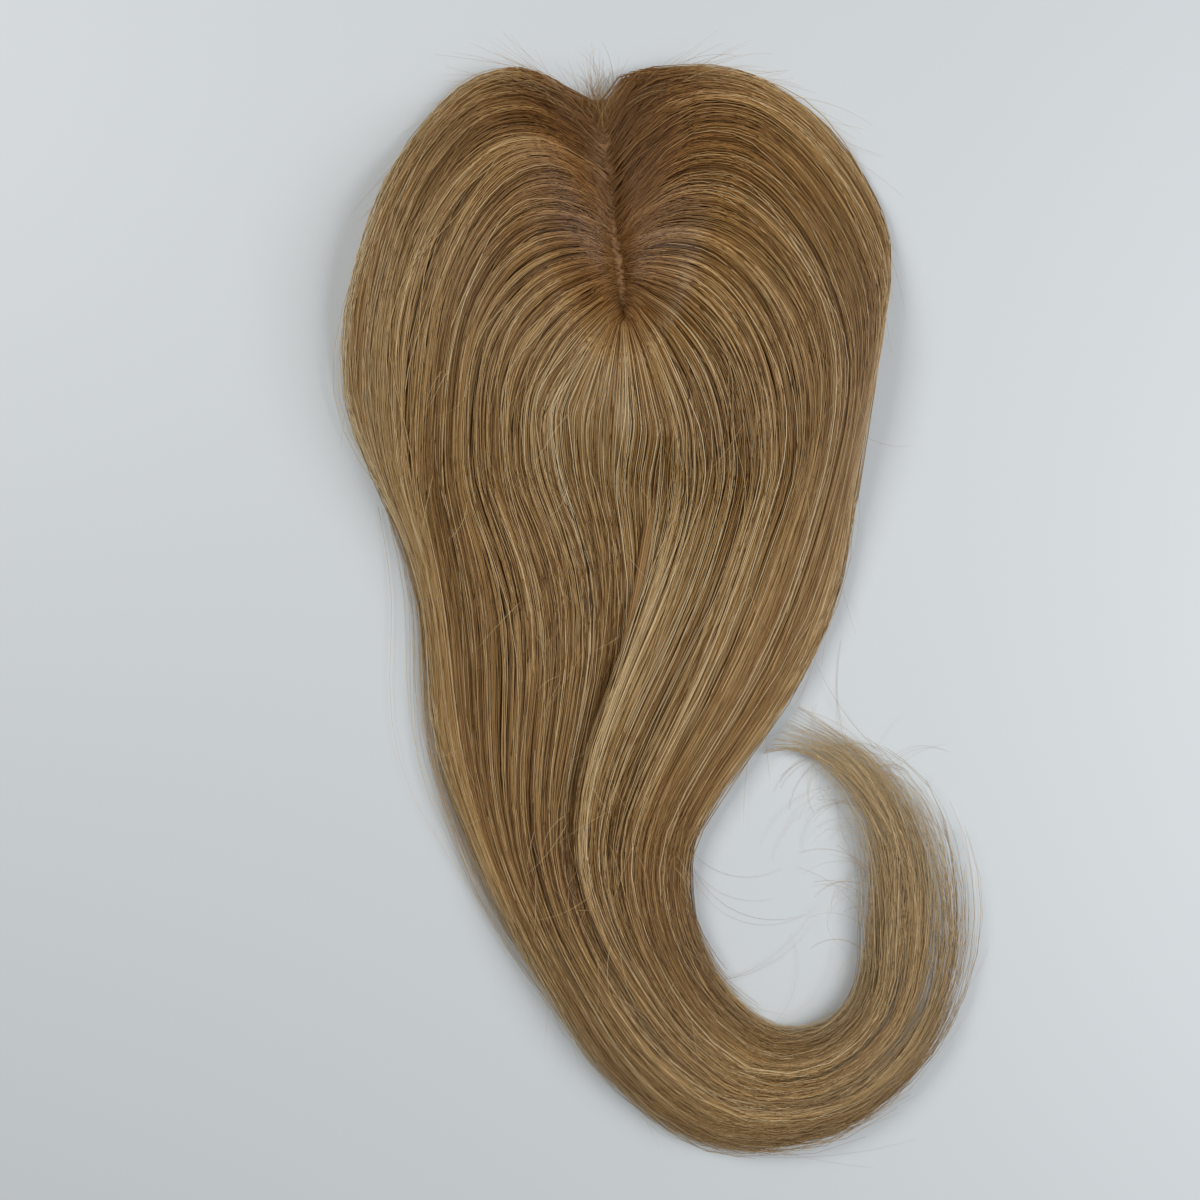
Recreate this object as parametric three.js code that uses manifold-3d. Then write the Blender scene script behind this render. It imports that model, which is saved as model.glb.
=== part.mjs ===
// Hair topper lying on a table: a domed silk base with four snap clips, and long hair that leaves the
// parting to the left, to the back and to the right, falls back off the crown and curls into a hooked tail.
// Millimetres, +Z up from the table, +Y to the forehead side. Sizes are set out from the middle of the
// crown; at the end the whole is moved so that the middle of its bounding box is the origin.
import * as THREE from "three";
import { mergeVertices } from "three/addons/utils/BufferGeometryUtils.js";
import Module from "manifold-3d";

const { lerp, clamp, degToRad } = THREE.MathUtils;

// Silk base: a 140 mm square of cloth shaped to the crown of the head, round cornered in plan.
const CAP_HALF_WIDTH = 60;
const CAP_HALF_LENGTH = 62.5;
const CAP_CENTRE_Y = -2.5;
const CAP_RISE = 26;
const CAP_WALL = 1.2;
const CAP_SQUARENESS = 2.5;
const CAP_FULLNESS = 1.2;
const CAP_SEGMENTS = 36;
const CAP_RING_ANGLES = [0, 14, 28, 42, 55, 66, 76, 84, 90];

// Snap clips: thin arched plates that follow the inside of the base near its rim.
const CLIP_LENGTH = 30;
const CLIP_WIDTH = 11;
const CLIP_THICKNESS = 1.5;
const CLIP_RING_ANGLE = 49;
const CLIP_STEPS = 10;
const CLIP_END_ROUNDING = 4;
const CLIP_PLACES = [
  { name: "clip_right", bearing: 0 },
  { name: "clip_front", bearing: 90 },
  { name: "clip_left", bearing: 180 },
  { name: "clip_back", bearing: 270 },
];

// Space kept between neighbouring pieces, and how near two corners count as one.
const GAP = 0.35;
const WELD_DISTANCE = 1e-4;

// Parting: the line on the base that the hair leaves, ending in a small round whorl at the back.
const PARTING_FRONT = new THREE.Vector2(-5.5, 58);
const PARTING_BACK = new THREE.Vector2(2, -11);
const PARTING_HALF_GAP = 1.5;
const WHORL_RADIUS = 3;
const ROOT_HEIGHT = 2;

// Crown: the hair's swell over the base.
const CROWN_HALF_WIDTH = 88;
const CROWN_FRONT = 84;
const CROWN_BACK = 100;
const CROWN_CENTRE_Y = -10;
const CROWN_HEIGHT = 40;
const CROWN_ROUNDING = 0.6;
const EDGE_HEIGHT = 4;

// Sweep of the hair from the parting out to the temple, as a rounded quarter turn.
const SWEEP_ANGLES = [0, 4, 12, 24, 38, 54, 72, 90];
const SWEEP_OUT_POWER = 0.8;
const SWEEP_BACK_POWER = 0.95;
const SWEEP_FULL_HEIGHT_ANGLE = 30;
const LIFT_FADE = 3;
const LIFT_PEAK = (1 / (1 + LIFT_FADE)) * (LIFT_FADE / (1 + LIFT_FADE)) ** LIFT_FADE;

// Locks: rounded ridges side by side, each between two neighbouring guides, narrowing to a tip. Lengths
// along a lock count stations of its guides.
const LOCK_RIDGE = 1.4;
const LOCK_OVERLAP = 0.6;
const LOCK_ACROSS = [0, 0.25, 0.5, 0.75, 1];
const LOCK_DEPTH = -2;
const SPACE_DEPTH = -4;
const ABOVE_SIZE = 1000;
const TIP_TAPER = 3;
const END_CLEARANCE = 0.3;
const TIP_WIDTH = 0.25;
const TIP_HEIGHT = 0.3;
const FALL_ROUNDING = 0.6;
const FALL_FLATNESS = 3;
const FOLD_SPREAD = 3;

// The fall, from the back of the crown to the end of the hooked tail: both edges of the hair, its height
// in the middle and the step up at the fold where the right hair lies over the back hair.
const SECTIONS = [
  { name: "shoulder", leftX: -75, leftY: -63, rightX: 75, rightY: -63, height: 30, fold: 0 },
  { name: "blade", leftX: -69.5, leftY: -76, rightX: 74.5, rightY: -76, height: 24, fold: 1 },
  { name: "hip", leftX: -60.5, leftY: -100, rightX: 70, rightY: -100, height: 17, fold: 2.5 },
  { name: "small", leftX: -59, leftY: -128.5, rightX: 57.5, rightY: -128.5, height: 14.5, fold: 4 },
  { name: "neck", leftX: -54.5, leftY: -154, rightX: 38.5, rightY: -154, height: 13.5, fold: 3.5 },
  { name: "waist", leftX: -46, leftY: -176, rightX: 24, rightY: -174.5, height: 13, fold: 2 },
  { name: "bend", leftX: -37.5, leftY: -197.5, rightX: 22.5, rightY: -195, height: 13, fold: 1 },
  { name: "drop", leftX: -22.5, leftY: -220.5, rightX: 29, rightY: -215.5, height: 13, fold: 0 },
  { name: "turn", leftX: -3.5, leftY: -248.5, rightX: 37.5, rightY: -227.5, height: 13, fold: 0 },
  { name: "sole", leftX: 30.5, leftY: -271, rightX: 51, rightY: -237.5, height: 12.5, fold: 0 },
  { name: "heel", leftX: 71, leftY: -267, rightX: 67.5, rightY: -235.5, height: 11.5, fold: 0 },
  { name: "rise", leftX: 100, leftY: -241, rightX: 78.5, rightY: -223.5, height: 10, fold: 0 },
  { name: "lift", leftX: 110, leftY: -211, rightX: 82, rightY: -203, height: 8.5, fold: 0 },
  { name: "curl", leftX: 107.5, leftY: -182, rightX: 83, rightY: -179, height: 7, fold: 0 },
  { name: "hook", leftX: 98, leftY: -160, rightX: 78.5, rightY: -160, height: 5.5, fold: 0 },
  { name: "tips", leftX: 83, leftY: -147, rightX: 72.5, rightY: -148, height: 4.5, fold: 0 },
  { name: "wisp", leftX: 63, leftY: -138.5, rightX: 60, rightY: -142.5, height: 4, fold: 0 },
];
const HIP_ROW = 2;
const WAIST_ROW = 5;
const HOOK_ROW = 14;

// Guides: the lines between neighbouring locks, in order from the left outline to the right outline.
// root: place on the parting (0 to 1 down its left side, 1 to 2 round the whorl, 2 to 3 up its right side).
// lift: how far the hair first runs forward. temple: where it turns straight back.
// shoulder, hip, waist: place across those sections, 0 at the left edge and 1 at the right edge.
// reach: the section, counted from 0, at which the hair ends.
const GUIDES = [
  { root: 0.0, lift: 15, templeX: -87, templeY: -37, shoulder: 0, hip: 0, waist: 0, reach: 12.4 },
  { root: 0.28, lift: 9, templeX: -72, templeY: -37, shoulder: 0.035, hip: 0.025, waist: 0.035, reach: 12.8 },
  { root: 0.43, lift: 4, templeX: -56.5, templeY: -39.5, shoulder: 0.105, hip: 0.055, waist: 0.07, reach: 13 },
  { root: 0.62, lift: 1, templeX: -50.5, templeY: -40.5, shoulder: 0.15, hip: 0.11, waist: 0.11, reach: 13.2 },
  { root: 0.75, lift: -1, templeX: -44, templeY: -41.5, shoulder: 0.2, hip: 0.17, waist: 0.155, reach: 13.4 },
  { root: 0.83, lift: -3, templeX: -36, templeY: -46, shoulder: 0.26, hip: 0.245, waist: 0.21, reach: 13.6 },
  { root: 0.915, lift: -2.5, templeX: -28, templeY: -46.5, shoulder: 0.31, hip: 0.31, waist: 0.29, reach: 13.8 },
  { root: 0.99, lift: -2, templeX: -21.5, templeY: -48, shoulder: 0.37, hip: 0.36, waist: 0.345, reach: 14.2 },
  { root: 1.25, lift: 0, templeX: -9.5, templeY: -48, shoulder: 0.44, hip: 0.41, waist: 0.395, reach: 14.4 },
  { root: 1.5, lift: 0, templeX: 2, templeY: -49.5, shoulder: 0.505, hip: 0.455, waist: 0.435, reach: 14.6 },
  { root: 1.75, lift: 0, templeX: 13.5, templeY: -52.5, shoulder: 0.575, hip: 0.505, waist: 0.47, reach: 15 },
  { root: 2.02, lift: 0, templeX: 22, templeY: -54, shoulder: 0.65, hip: 0.55, waist: 0.515, reach: 15.4 },
  { root: 2.085, lift: -1.5, templeX: 32.5, templeY: -52, shoulder: 0.73, hip: 0.63, waist: 0.585, reach: 16 },
  { root: 2.15, lift: 0.5, templeX: 43.5, templeY: -50, shoulder: 0.8, hip: 0.72, waist: 0.67, reach: 16 },
  { root: 2.245, lift: 2, templeX: 53.5, templeY: -47, shoulder: 0.86, hip: 0.785, waist: 0.74, reach: 15.6 },
  { root: 2.335, lift: 4, templeX: 63, templeY: -40.5, shoulder: 0.9, hip: 0.84, waist: 0.8, reach: 15.2 },
  { root: 2.44, lift: 12, templeX: 72, templeY: -35, shoulder: 0.94, hip: 0.89, waist: 0.86, reach: 14.8 },
  { root: 2.575, lift: 17, templeX: 79.5, templeY: -20.5, shoulder: 0.975, hip: 0.94, waist: 0.92, reach: 14.4 },
  { root: 2.755, lift: 17, templeX: 86, templeY: -8, shoulder: 0.99, hip: 0.975, waist: 0.965, reach: 14 },
  { root: 3.0, lift: 13.5, templeX: 89, templeY: 3, shoulder: 1, hip: 1, waist: 1, reach: 13.8 },
];

// Hair nodes: the guides each one lies between. The fold runs along the first guide of the right hair.
const HAIR = [
  { name: "hair_left", first: 0, last: 6 },
  { name: "hair_back", first: 6, last: 10 },
  { name: "hair_right", first: 10, last: 19 },
];
const FOLD_GUIDE = 10;

// Finishes: dark-blond hair, skin-toned silk and brown lacquered spring steel.
const HAIR_FINISH = { color: "#7d6446", roughness: 0.45, metalness: 0 };
const SILK_FINISH = { color: "#8a654a", roughness: 0.8, metalness: 0 };
const CLIP_FINISH = { color: "#4a3a2c", roughness: 0.4, metalness: 0.6 };

const wasm = await Module();
wasm.setup();

// Welds equal corners and drops triangles that have collapsed to a line.
function weld(geometry) {
  geometry.deleteAttribute("normal");
  geometry.deleteAttribute("uv");
  const welded = mergeVertices(geometry, WELD_DISTANCE);
  const corners = welded.index.array;
  const kept = [];
  for (let i = 0; i < corners.length; i += 3) {
    const [a, b, c] = [corners[i], corners[i + 1], corners[i + 2]];
    if (a !== b && b !== c && c !== a) kept.push(a, b, c);
  }
  welded.setIndex(kept);
  return welded;
}

function toSolid(geometry) {
  const welded = weld(geometry);
  const vertProperties = new Float32Array(welded.attributes.position.array);
  const triVerts = new Uint32Array(welded.index.array);
  return new wasm.Manifold(new wasm.Mesh({ numProp: 3, vertProperties, triVerts }));
}

function toGeometry(solid) {
  const mesh = solid.getMesh();
  const geometry = new THREE.BufferGeometry();
  const positions = new Float32Array(mesh.numVert * 3);
  for (let v = 0; v < mesh.numVert; v += 1) {
    for (let axis = 0; axis < 3; axis += 1) positions[3 * v + axis] = mesh.vertProperties[mesh.numProp * v + axis];
  }
  geometry.setAttribute("position", new THREE.BufferAttribute(positions, 3));
  geometry.setIndex(Array.from(mesh.triVerts));
  return geometry;
}

// Closed body through rings of equal point counts, with a flat face over the first and the last ring.
function loft(rings) {
  const count = rings[0].length;
  const positions = rings.flat().flatMap((point) => [point.x, point.y, point.z]);
  const index = [];
  for (let r = 0; r + 1 < rings.length; r += 1) {
    for (let p = 0; p < count; p += 1) {
      const next = (p + 1) % count;
      const [a, b] = [r * count + p, r * count + next];
      index.push(a, b, b + count, a, b + count, a + count);
    }
  }
  const lastRing = (rings.length - 1) * count;
  for (let p = 1; p + 1 < count; p += 1) {
    index.push(0, p + 1, p);
    index.push(lastRing, lastRing + p, lastRing + p + 1);
  }
  const geometry = new THREE.BufferGeometry();
  geometry.setAttribute("position", new THREE.Float32BufferAttribute(positions, 3));
  geometry.setIndex(index);
  return geometry;
}

// Distance from the middle of the base to its rim in a given direction, for the round-cornered plan.
function capPlanRadius(angle) {
  const across = Math.abs(Math.cos(angle) / CAP_HALF_WIDTH) ** CAP_SQUARENESS;
  const along = Math.abs(Math.sin(angle) / CAP_HALF_LENGTH) ** CAP_SQUARENESS;
  return (across + along) ** (-1 / CAP_SQUARENESS);
}

// Point of the dome's profile at a ring angle (0 at the top, 90 at the rim), sunk below the outer face.
function capProfile(ringAngle, sink) {
  const turn = degToRad(ringAngle);
  const radius = CAP_HALF_WIDTH * Math.sin(turn);
  const height = CAP_RISE * Math.max(Math.cos(turn), 0) ** CAP_FULLNESS;
  if (ringAngle >= 90) return new THREE.Vector2(radius - sink, 0);
  const slope = CAP_RISE * CAP_FULLNESS * Math.cos(turn) ** (CAP_FULLNESS - 1) * Math.sin(turn);
  const normal = new THREE.Vector2(slope, CAP_HALF_WIDTH * Math.cos(turn)).normalize();
  return new THREE.Vector2(Math.max(radius - sink * normal.x, 0), Math.max(height - sink * normal.y, 0));
}

// The same point on the base itself, at a bearing counted from +X.
function capPoint(ringAngle, bearing, sink) {
  const profile = capProfile(ringAngle, sink);
  const radius = (profile.x * capPlanRadius(bearing)) / CAP_HALF_WIDTH;
  const x = radius * Math.cos(bearing);
  const y = CAP_CENTRE_Y + radius * Math.sin(bearing);
  return new THREE.Vector3(x, y, profile.y);
}

// Height of the base's outer face over a point of the table.
function capHeight(x, y) {
  const along = y - CAP_CENTRE_Y;
  const share = clamp(Math.hypot(x, along) / capPlanRadius(Math.atan2(along, x)), 0, 1);
  return CAP_RISE * Math.sqrt(1 - share * share) ** CAP_FULLNESS;
}

// Turns a profile about the upright axis and squares the plan to that of the base.
function capLathe(profile) {
  const geometry = new THREE.LatheGeometry(profile, CAP_SEGMENTS).rotateX(Math.PI / 2);
  const position = geometry.attributes.position;
  for (let v = 0; v < position.count; v += 1) {
    const [x, y] = [position.getX(v), position.getY(v)];
    const widen = capPlanRadius(Math.atan2(y, x)) / CAP_HALF_WIDTH;
    position.setXY(v, x * widen, y * widen + CAP_CENTRE_Y);
  }
  return geometry;
}

function buildCap() {
  const outer = CAP_RING_ANGLES.map((angle) => capProfile(angle, 0));
  const inner = CAP_RING_ANGLES.map((angle) => capProfile(angle, CAP_WALL));
  return capLathe([...inner, ...outer.reverse()]);
}

// The space the hair leaves for the base and all that is under it.
function buildCapSpace() {
  const outer = CAP_RING_ANGLES.map((angle) => capProfile(angle, -GAP));
  const rim = outer[outer.length - 1];
  const floor = [new THREE.Vector2(0, SPACE_DEPTH), new THREE.Vector2(rim.x, SPACE_DEPTH)];
  return capLathe([...floor, ...outer.reverse()]);
}

// One arched clip: sections across its width, swept along its length over the inside of the base.
function buildClip(bearing) {
  const middle = degToRad(bearing);
  const stand = capProfile(CLIP_RING_ANGLE, CAP_WALL).x;
  const depths = [CAP_WALL + GAP, CAP_WALL + GAP + CLIP_THICKNESS];
  const rings = [];
  for (let step = 0; step <= CLIP_STEPS; step += 1) {
    const along = lerp(-1, 1, (step + 0.5) / (CLIP_STEPS + 1));
    const narrowing = Math.sqrt(1 - Math.abs(along) ** CLIP_END_ROUNDING);
    const halfWidth = (CLIP_WIDTH / 2) * narrowing;
    const halfAngle = THREE.MathUtils.radToDeg(halfWidth / CAP_HALF_WIDTH);
    const turn = middle + (along * CLIP_LENGTH) / 2 / stand;
    const [low, high] = [CLIP_RING_ANGLE + halfAngle, CLIP_RING_ANGLE - halfAngle];
    rings.push([
      capPoint(high, turn, depths[0]),
      capPoint(low, turn, depths[0]),
      capPoint(low, turn, depths[1]),
      capPoint(high, turn, depths[1]),
    ]);
  }
  return loft(rings);
}

// Where hair leaves the parting.
function rootPoint(root) {
  const run = PARTING_BACK.clone().sub(PARTING_FRONT);
  const side = new THREE.Vector2(run.y, -run.x).normalize().multiplyScalar(PARTING_HALF_GAP);
  if (root <= 1) return PARTING_FRONT.clone().addScaledVector(run, root).add(side);
  if (root >= 2) return PARTING_BACK.clone().addScaledVector(run, 2 - root).sub(side);
  const turn = Math.PI * root;
  const round = new THREE.Vector2(Math.cos(turn) * PARTING_HALF_GAP, Math.sin(turn) * WHORL_RADIUS);
  return PARTING_BACK.clone().add(round);
}

// Height of the hair over the crown.
function crownHeight(x, y) {
  const along = y - CROWN_CENTRE_Y;
  const reach = along > 0 ? CROWN_FRONT : CROWN_BACK;
  const share = clamp((x / CROWN_HALF_WIDTH) ** 2 + (along / reach) ** 2, 0, 1);
  return lerp(EDGE_HEIGHT, CROWN_HEIGHT, (1 - share) ** CROWN_ROUNDING);
}

// Points of a guide from the parting to the temple.
function sweepPoints(guide) {
  const root = rootPoint(guide.root);
  const rootHeight = capHeight(root.x, root.y) + ROOT_HEIGHT;
  return SWEEP_ANGLES.map((angle) => {
    const turn = degToRad(angle);
    const share = angle / 90;
    const out = Math.sin(turn) ** SWEEP_OUT_POWER;
    const back = 1 - Math.max(Math.cos(turn), 0) ** SWEEP_BACK_POWER;
    const forward = (guide.lift * share * (1 - share) ** LIFT_FADE) / LIFT_PEAK;
    const x = lerp(root.x, guide.templeX, out);
    const y = lerp(root.y, guide.templeY, back) + forward;
    const rise = THREE.MathUtils.smoothstep(angle, 0, SWEEP_FULL_HEIGHT_ANGLE);
    return new THREE.Vector3(x, y, lerp(rootHeight, crownHeight(x, y), rise));
  });
}

// Place of a guide across a section of the fall.
function laneAt(guide, row) {
  if (row <= HIP_ROW) return lerp(guide.shoulder, guide.hip, row / HIP_ROW);
  if (row <= WAIST_ROW) return lerp(guide.hip, guide.waist, (row - HIP_ROW) / (WAIST_ROW - HIP_ROW));
  return guide.waist;
}

function fallPoint(guide, row) {
  const section = SECTIONS[row];
  const lane = laneAt(guide, row);
  const x = lerp(section.leftX, section.rightX, lane);
  const y = lerp(section.leftY, section.rightY, lane);
  const heap = (1 - Math.abs(2 * lane - 1) ** FALL_FLATNESS) ** FALL_ROUNDING;
  return new THREE.Vector3(x, y, lerp(EDGE_HEIGHT, section.height, heap));
}

function guideCurve(guide) {
  const fall = SECTIONS.map((section, row) => fallPoint(guide, row));
  return new THREE.CatmullRomCurve3([...sweepPoints(guide), ...fall], false, "centripetal");
}

const guideCurves = GUIDES.map(guideCurve);
const LAST_STATION = SWEEP_ANGLES.length + SECTIONS.length - 1;
const FIRST_FALL_STATION = SWEEP_ANGLES.length;

// Stations along every lock: one at each point of the guides, and one more half-way where the tail turns.
const STATIONS = [];
for (let station = 0; station < LAST_STATION; station += 1) {
  const row = station - FIRST_FALL_STATION;
  STATIONS.push(station);
  if (row >= WAIST_ROW && row < HOOK_ROW) STATIONS.push(station + 0.5);
}

// Extra step up of the right hair at the fold, fading away from the fold's edge.
function foldHeight(lock, station) {
  if (lock < FOLD_GUIDE) return 0;
  const row = clamp(station - FIRST_FALL_STATION, 0, SECTIONS.length - 1);
  const [above, below] = [Math.floor(row), Math.ceil(row)];
  const step = lerp(SECTIONS[above].fold, SECTIONS[below].fold, row - above);
  return step * Math.exp((FOLD_GUIDE - lock) / FOLD_SPREAD);
}

// Section of a lock at a station of its two guides: flat sides down into the table and a rounded top.
function lockRing(lock, station, end, grow) {
  const share = station / LAST_STATION;
  const left = guideCurves[lock].getPoint(share);
  const right = guideCurves[lock + 1].getPoint(share);
  const toTip = clamp((end - station) / TIP_TAPER, 0, 1);
  const width = lerp(TIP_WIDTH, 1, Math.sqrt(toTip));
  const height = lerp(TIP_HEIGHT, 1, toTip);
  const middle = left.clone().lerp(right, 0.5);
  const half = right.clone().sub(left).setZ(0).multiplyScalar(width / 2);
  half.setLength(half.length() + (LOCK_OVERLAP + grow) * width);
  const top = LOCK_ACROSS.map((across) => {
    const point = middle.clone().addScaledVector(half, 2 * across - 1);
    const ridge = LOCK_RIDGE * Math.sin(Math.PI * across);
    const level = lerp(left.z, right.z, across) + foldHeight(lock, station) + ridge;
    return point.setZ(level * height + grow);
  });
  const [leftFoot, rightFoot] = [top[0], top[top.length - 1]].map((point) => point.clone().setZ(LOCK_DEPTH));
  return [rightFoot, ...top.reverse(), leftFoot];
}

// Moves an end ring level away from the ring next to it.
function pushOut(ring, neighbour, distance) {
  const away = ring[0].clone().sub(neighbour[0]).setZ(0).setLength(distance);
  ring.forEach((point) => point.add(away));
}

function buildLock(lock, grow) {
  const end = FIRST_FALL_STATION + (GUIDES[lock].reach + GUIDES[lock + 1].reach) / 2;
  const stations = [...STATIONS.filter((station) => station < end - END_CLEARANCE), end];
  const rings = stations.map((station) => lockRing(lock, station, end, grow));
  pushOut(rings[0], rings[1], grow);
  pushOut(rings[rings.length - 1], rings[rings.length - 2], grow);
  return loft(rings);
}

function buildHair(hair, grow) {
  let body = toSolid(buildLock(hair.first, grow));
  for (let lock = hair.first + 1; lock < hair.last; lock += 1) body = body.add(toSolid(buildLock(lock, grow)));
  return body;
}

// Everything above the table.
function buildAbove() {
  return new THREE.BoxGeometry(ABOVE_SIZE, ABOVE_SIZE, ABOVE_SIZE).translate(0, 0, ABOVE_SIZE / 2);
}

function node(name, geometry, finish) {
  const mesh = new THREE.Mesh(geometry, new THREE.MeshStandardMaterial(finish));
  mesh.name = name;
  return mesh;
}

const capSpace = toSolid(buildCapSpace());
const above = toSolid(buildAbove());
const [left, back, right] = HAIR.map((hair) => buildHair(hair, 0).subtract(capSpace).intersect(above));
const [leftGrown, , rightGrown] = HAIR.map((hair) => buildHair(hair, GAP));
const hairBodies = [left.subtract(rightGrown), back.subtract(leftGrown).subtract(rightGrown), right];

const topper = new THREE.Group();
topper.name = "hair_topper";
topper.add(node("base_cap", weld(buildCap()), SILK_FINISH));
for (const clip of CLIP_PLACES) topper.add(node(clip.name, weld(buildClip(clip.bearing)), CLIP_FINISH));
HAIR.forEach((hair, order) => topper.add(node(hair.name, toGeometry(hairBodies[order]), HAIR_FINISH)));

const bounds = new THREE.Box3().setFromObject(topper);
const middle = bounds.getCenter(new THREE.Vector3());
for (const mesh of topper.children) mesh.geometry.translate(-middle.x, -middle.y, -bounds.min.z);

export default topper;
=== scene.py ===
"""Looks of a hair topper lying on a table: combed strands over a mat of hair, a silk base and snap clips."""

import math
from types import SimpleNamespace

import bpy
import numpy as np
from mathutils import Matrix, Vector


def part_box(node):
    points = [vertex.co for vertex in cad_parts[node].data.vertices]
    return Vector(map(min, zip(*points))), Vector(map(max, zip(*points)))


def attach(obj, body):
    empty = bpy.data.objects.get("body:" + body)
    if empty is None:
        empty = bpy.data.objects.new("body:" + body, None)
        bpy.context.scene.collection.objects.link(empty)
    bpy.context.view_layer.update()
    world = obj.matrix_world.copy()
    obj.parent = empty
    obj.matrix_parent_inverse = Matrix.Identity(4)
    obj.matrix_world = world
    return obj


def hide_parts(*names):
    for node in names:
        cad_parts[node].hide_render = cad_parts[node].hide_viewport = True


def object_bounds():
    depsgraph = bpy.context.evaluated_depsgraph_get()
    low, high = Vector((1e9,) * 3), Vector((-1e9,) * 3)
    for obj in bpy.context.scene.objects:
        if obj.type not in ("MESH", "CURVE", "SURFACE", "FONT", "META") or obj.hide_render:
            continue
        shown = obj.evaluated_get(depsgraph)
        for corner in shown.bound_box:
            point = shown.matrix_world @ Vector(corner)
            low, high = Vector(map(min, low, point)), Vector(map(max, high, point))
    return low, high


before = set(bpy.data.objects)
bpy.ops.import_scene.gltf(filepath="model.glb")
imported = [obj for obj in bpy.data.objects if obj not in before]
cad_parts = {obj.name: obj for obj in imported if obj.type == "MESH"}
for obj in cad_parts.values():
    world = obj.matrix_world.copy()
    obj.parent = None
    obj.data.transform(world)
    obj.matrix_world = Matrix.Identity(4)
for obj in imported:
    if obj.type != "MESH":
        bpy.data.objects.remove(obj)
cad_low, cad_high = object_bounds()

# Sizes are in millimetres, set out from the middle of the crown, and turned to metres at the end.
MM = 0.001

# Silk base, a dome with a round-cornered plan.
CAP_HALF_WIDTH = 60.0
CAP_HALF_LENGTH = 62.5
CAP_CENTRE_Y = -2.5
CAP_RISE = 26.0
CAP_SQUARENESS = 2.5
CAP_FULLNESS = 1.2

# Parting with the whorl at its back end.
PARTING_FRONT = np.array([-5.5, 58.0])
PARTING_BACK = np.array([2.0, -11.0])
PARTING_HALF_GAP = 1.5
WHORL_RADIUS = 3.0
ROOT_HEIGHT = 2.0

# Swell of the hair over the base, and its sweep from the parting to the temple.
CROWN_HALF_WIDTH = 88.0
CROWN_FRONT = 84.0
CROWN_BACK = 100.0
CROWN_CENTRE_Y = -10.0
CROWN_HEIGHT = 40.0
CROWN_ROUNDING = 0.6
EDGE_HEIGHT = 4.0
SWEEP_ANGLES = np.array([0.0, 4.0, 12.0, 24.0, 38.0, 54.0, 72.0, 90.0])
SWEEP_OUT_POWER = 0.8
SWEEP_BACK_POWER = 0.95
SWEEP_FULL_HEIGHT_ANGLE = 30.0
FAN_GUIDE = 9.0
FAN_SPREAD = 3.4
LIFT_FADE = 3
LIFT_PEAK = (1 / (1 + LIFT_FADE)) * (LIFT_FADE / (1 + LIFT_FADE)) ** LIFT_FADE
FALL_ROUNDING = 0.6
FALL_FLATNESS = 3.0
FOLD_SPREAD = 3.0

# The fall from the back of the crown to the end of the tail: left edge, right edge, height, step at the fold.
SECTION_COLUMNS = ("left_x", "left_y", "right_x", "right_y", "height", "fold")
SECTION_ROWS = (
    (-75, -63, 75, -63, 30, 0),
    (-69.5, -76, 74.5, -76, 24, 1),
    (-60.5, -100, 70, -100, 17, 2.5),
    (-59, -128.5, 57.5, -128.5, 14.5, 4),
    (-54.5, -154, 38.5, -154, 13.5, 3.5),
    (-46, -176, 24, -174.5, 13, 2),
    (-37.5, -197.5, 22.5, -195, 13, 1),
    (-22.5, -220.5, 29, -215.5, 13, 0),
    (-3.5, -248.5, 37.5, -227.5, 13, 0),
    (30.5, -271, 51, -237.5, 12.5, 0),
    (71, -267, 67.5, -235.5, 11.5, 0),
    (100, -241, 78.5, -223.5, 10, 0),
    (110, -211, 82, -203, 8.5, 0),
    (107.5, -182, 83, -179, 7, 0),
    (98, -160, 78.5, -160, 5.5, 0),
    (83, -147, 72.5, -148, 4.5, 0),
    (63, -138.5, 60, -142.5, 4, 0),
)
HIP_ROW = 2
WAIST_ROW = 5

# Guides from the left outline to the right outline: root on the parting, forward lift, temple point, place
# across the shoulder, hip and waist sections, and the section at which the hair ends.
GUIDE_COLUMNS = ("root", "lift", "temple_x", "temple_y", "shoulder", "hip", "waist", "reach")
GUIDE_ROWS = (
    (0.0, 15, -87, -37, 0, 0, 0, 12.4),
    (0.28, 9, -72, -37, 0.035, 0.025, 0.035, 12.8),
    (0.43, 4, -56.5, -39.5, 0.105, 0.055, 0.07, 13),
    (0.62, 1, -50.5, -40.5, 0.15, 0.11, 0.11, 13.2),
    (0.75, -1, -44, -41.5, 0.2, 0.17, 0.155, 13.4),
    (0.83, -3, -36, -46, 0.26, 0.245, 0.21, 13.6),
    (0.915, -2.5, -28, -46.5, 0.31, 0.31, 0.29, 13.8),
    (0.99, -2, -21.5, -48, 0.37, 0.36, 0.345, 14.2),
    (1.25, 0, -9.5, -48, 0.44, 0.41, 0.395, 14.4),
    (1.5, 0, 2, -49.5, 0.505, 0.455, 0.435, 14.6),
    (1.75, 0, 13.5, -52.5, 0.575, 0.505, 0.47, 15),
    (2.02, 0, 22, -54, 0.65, 0.55, 0.515, 15.4),
    (2.085, -1.5, 32.5, -52, 0.73, 0.63, 0.585, 16),
    (2.15, 0.5, 43.5, -50, 0.8, 0.72, 0.67, 16),
    (2.245, 2, 53.5, -47, 0.86, 0.785, 0.74, 15.6),
    (2.335, 4, 63, -40.5, 0.9, 0.84, 0.8, 15.2),
    (2.44, 12, 72, -35, 0.94, 0.89, 0.86, 14.8),
    (2.575, 17, 79.5, -20.5, 0.975, 0.94, 0.92, 14.4),
    (2.755, 17, 86, -8, 0.99, 0.975, 0.965, 14),
    (3.0, 13.5, 89, 3, 1, 1, 1, 13.8),
)
FOLD_GUIDE = 10
LAST_GUIDE = len(GUIDE_ROWS) - 1
FIRST_FALL = len(SWEEP_ANGLES)
LAST_STATION = FIRST_FALL + len(SECTION_ROWS) - 1
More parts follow.
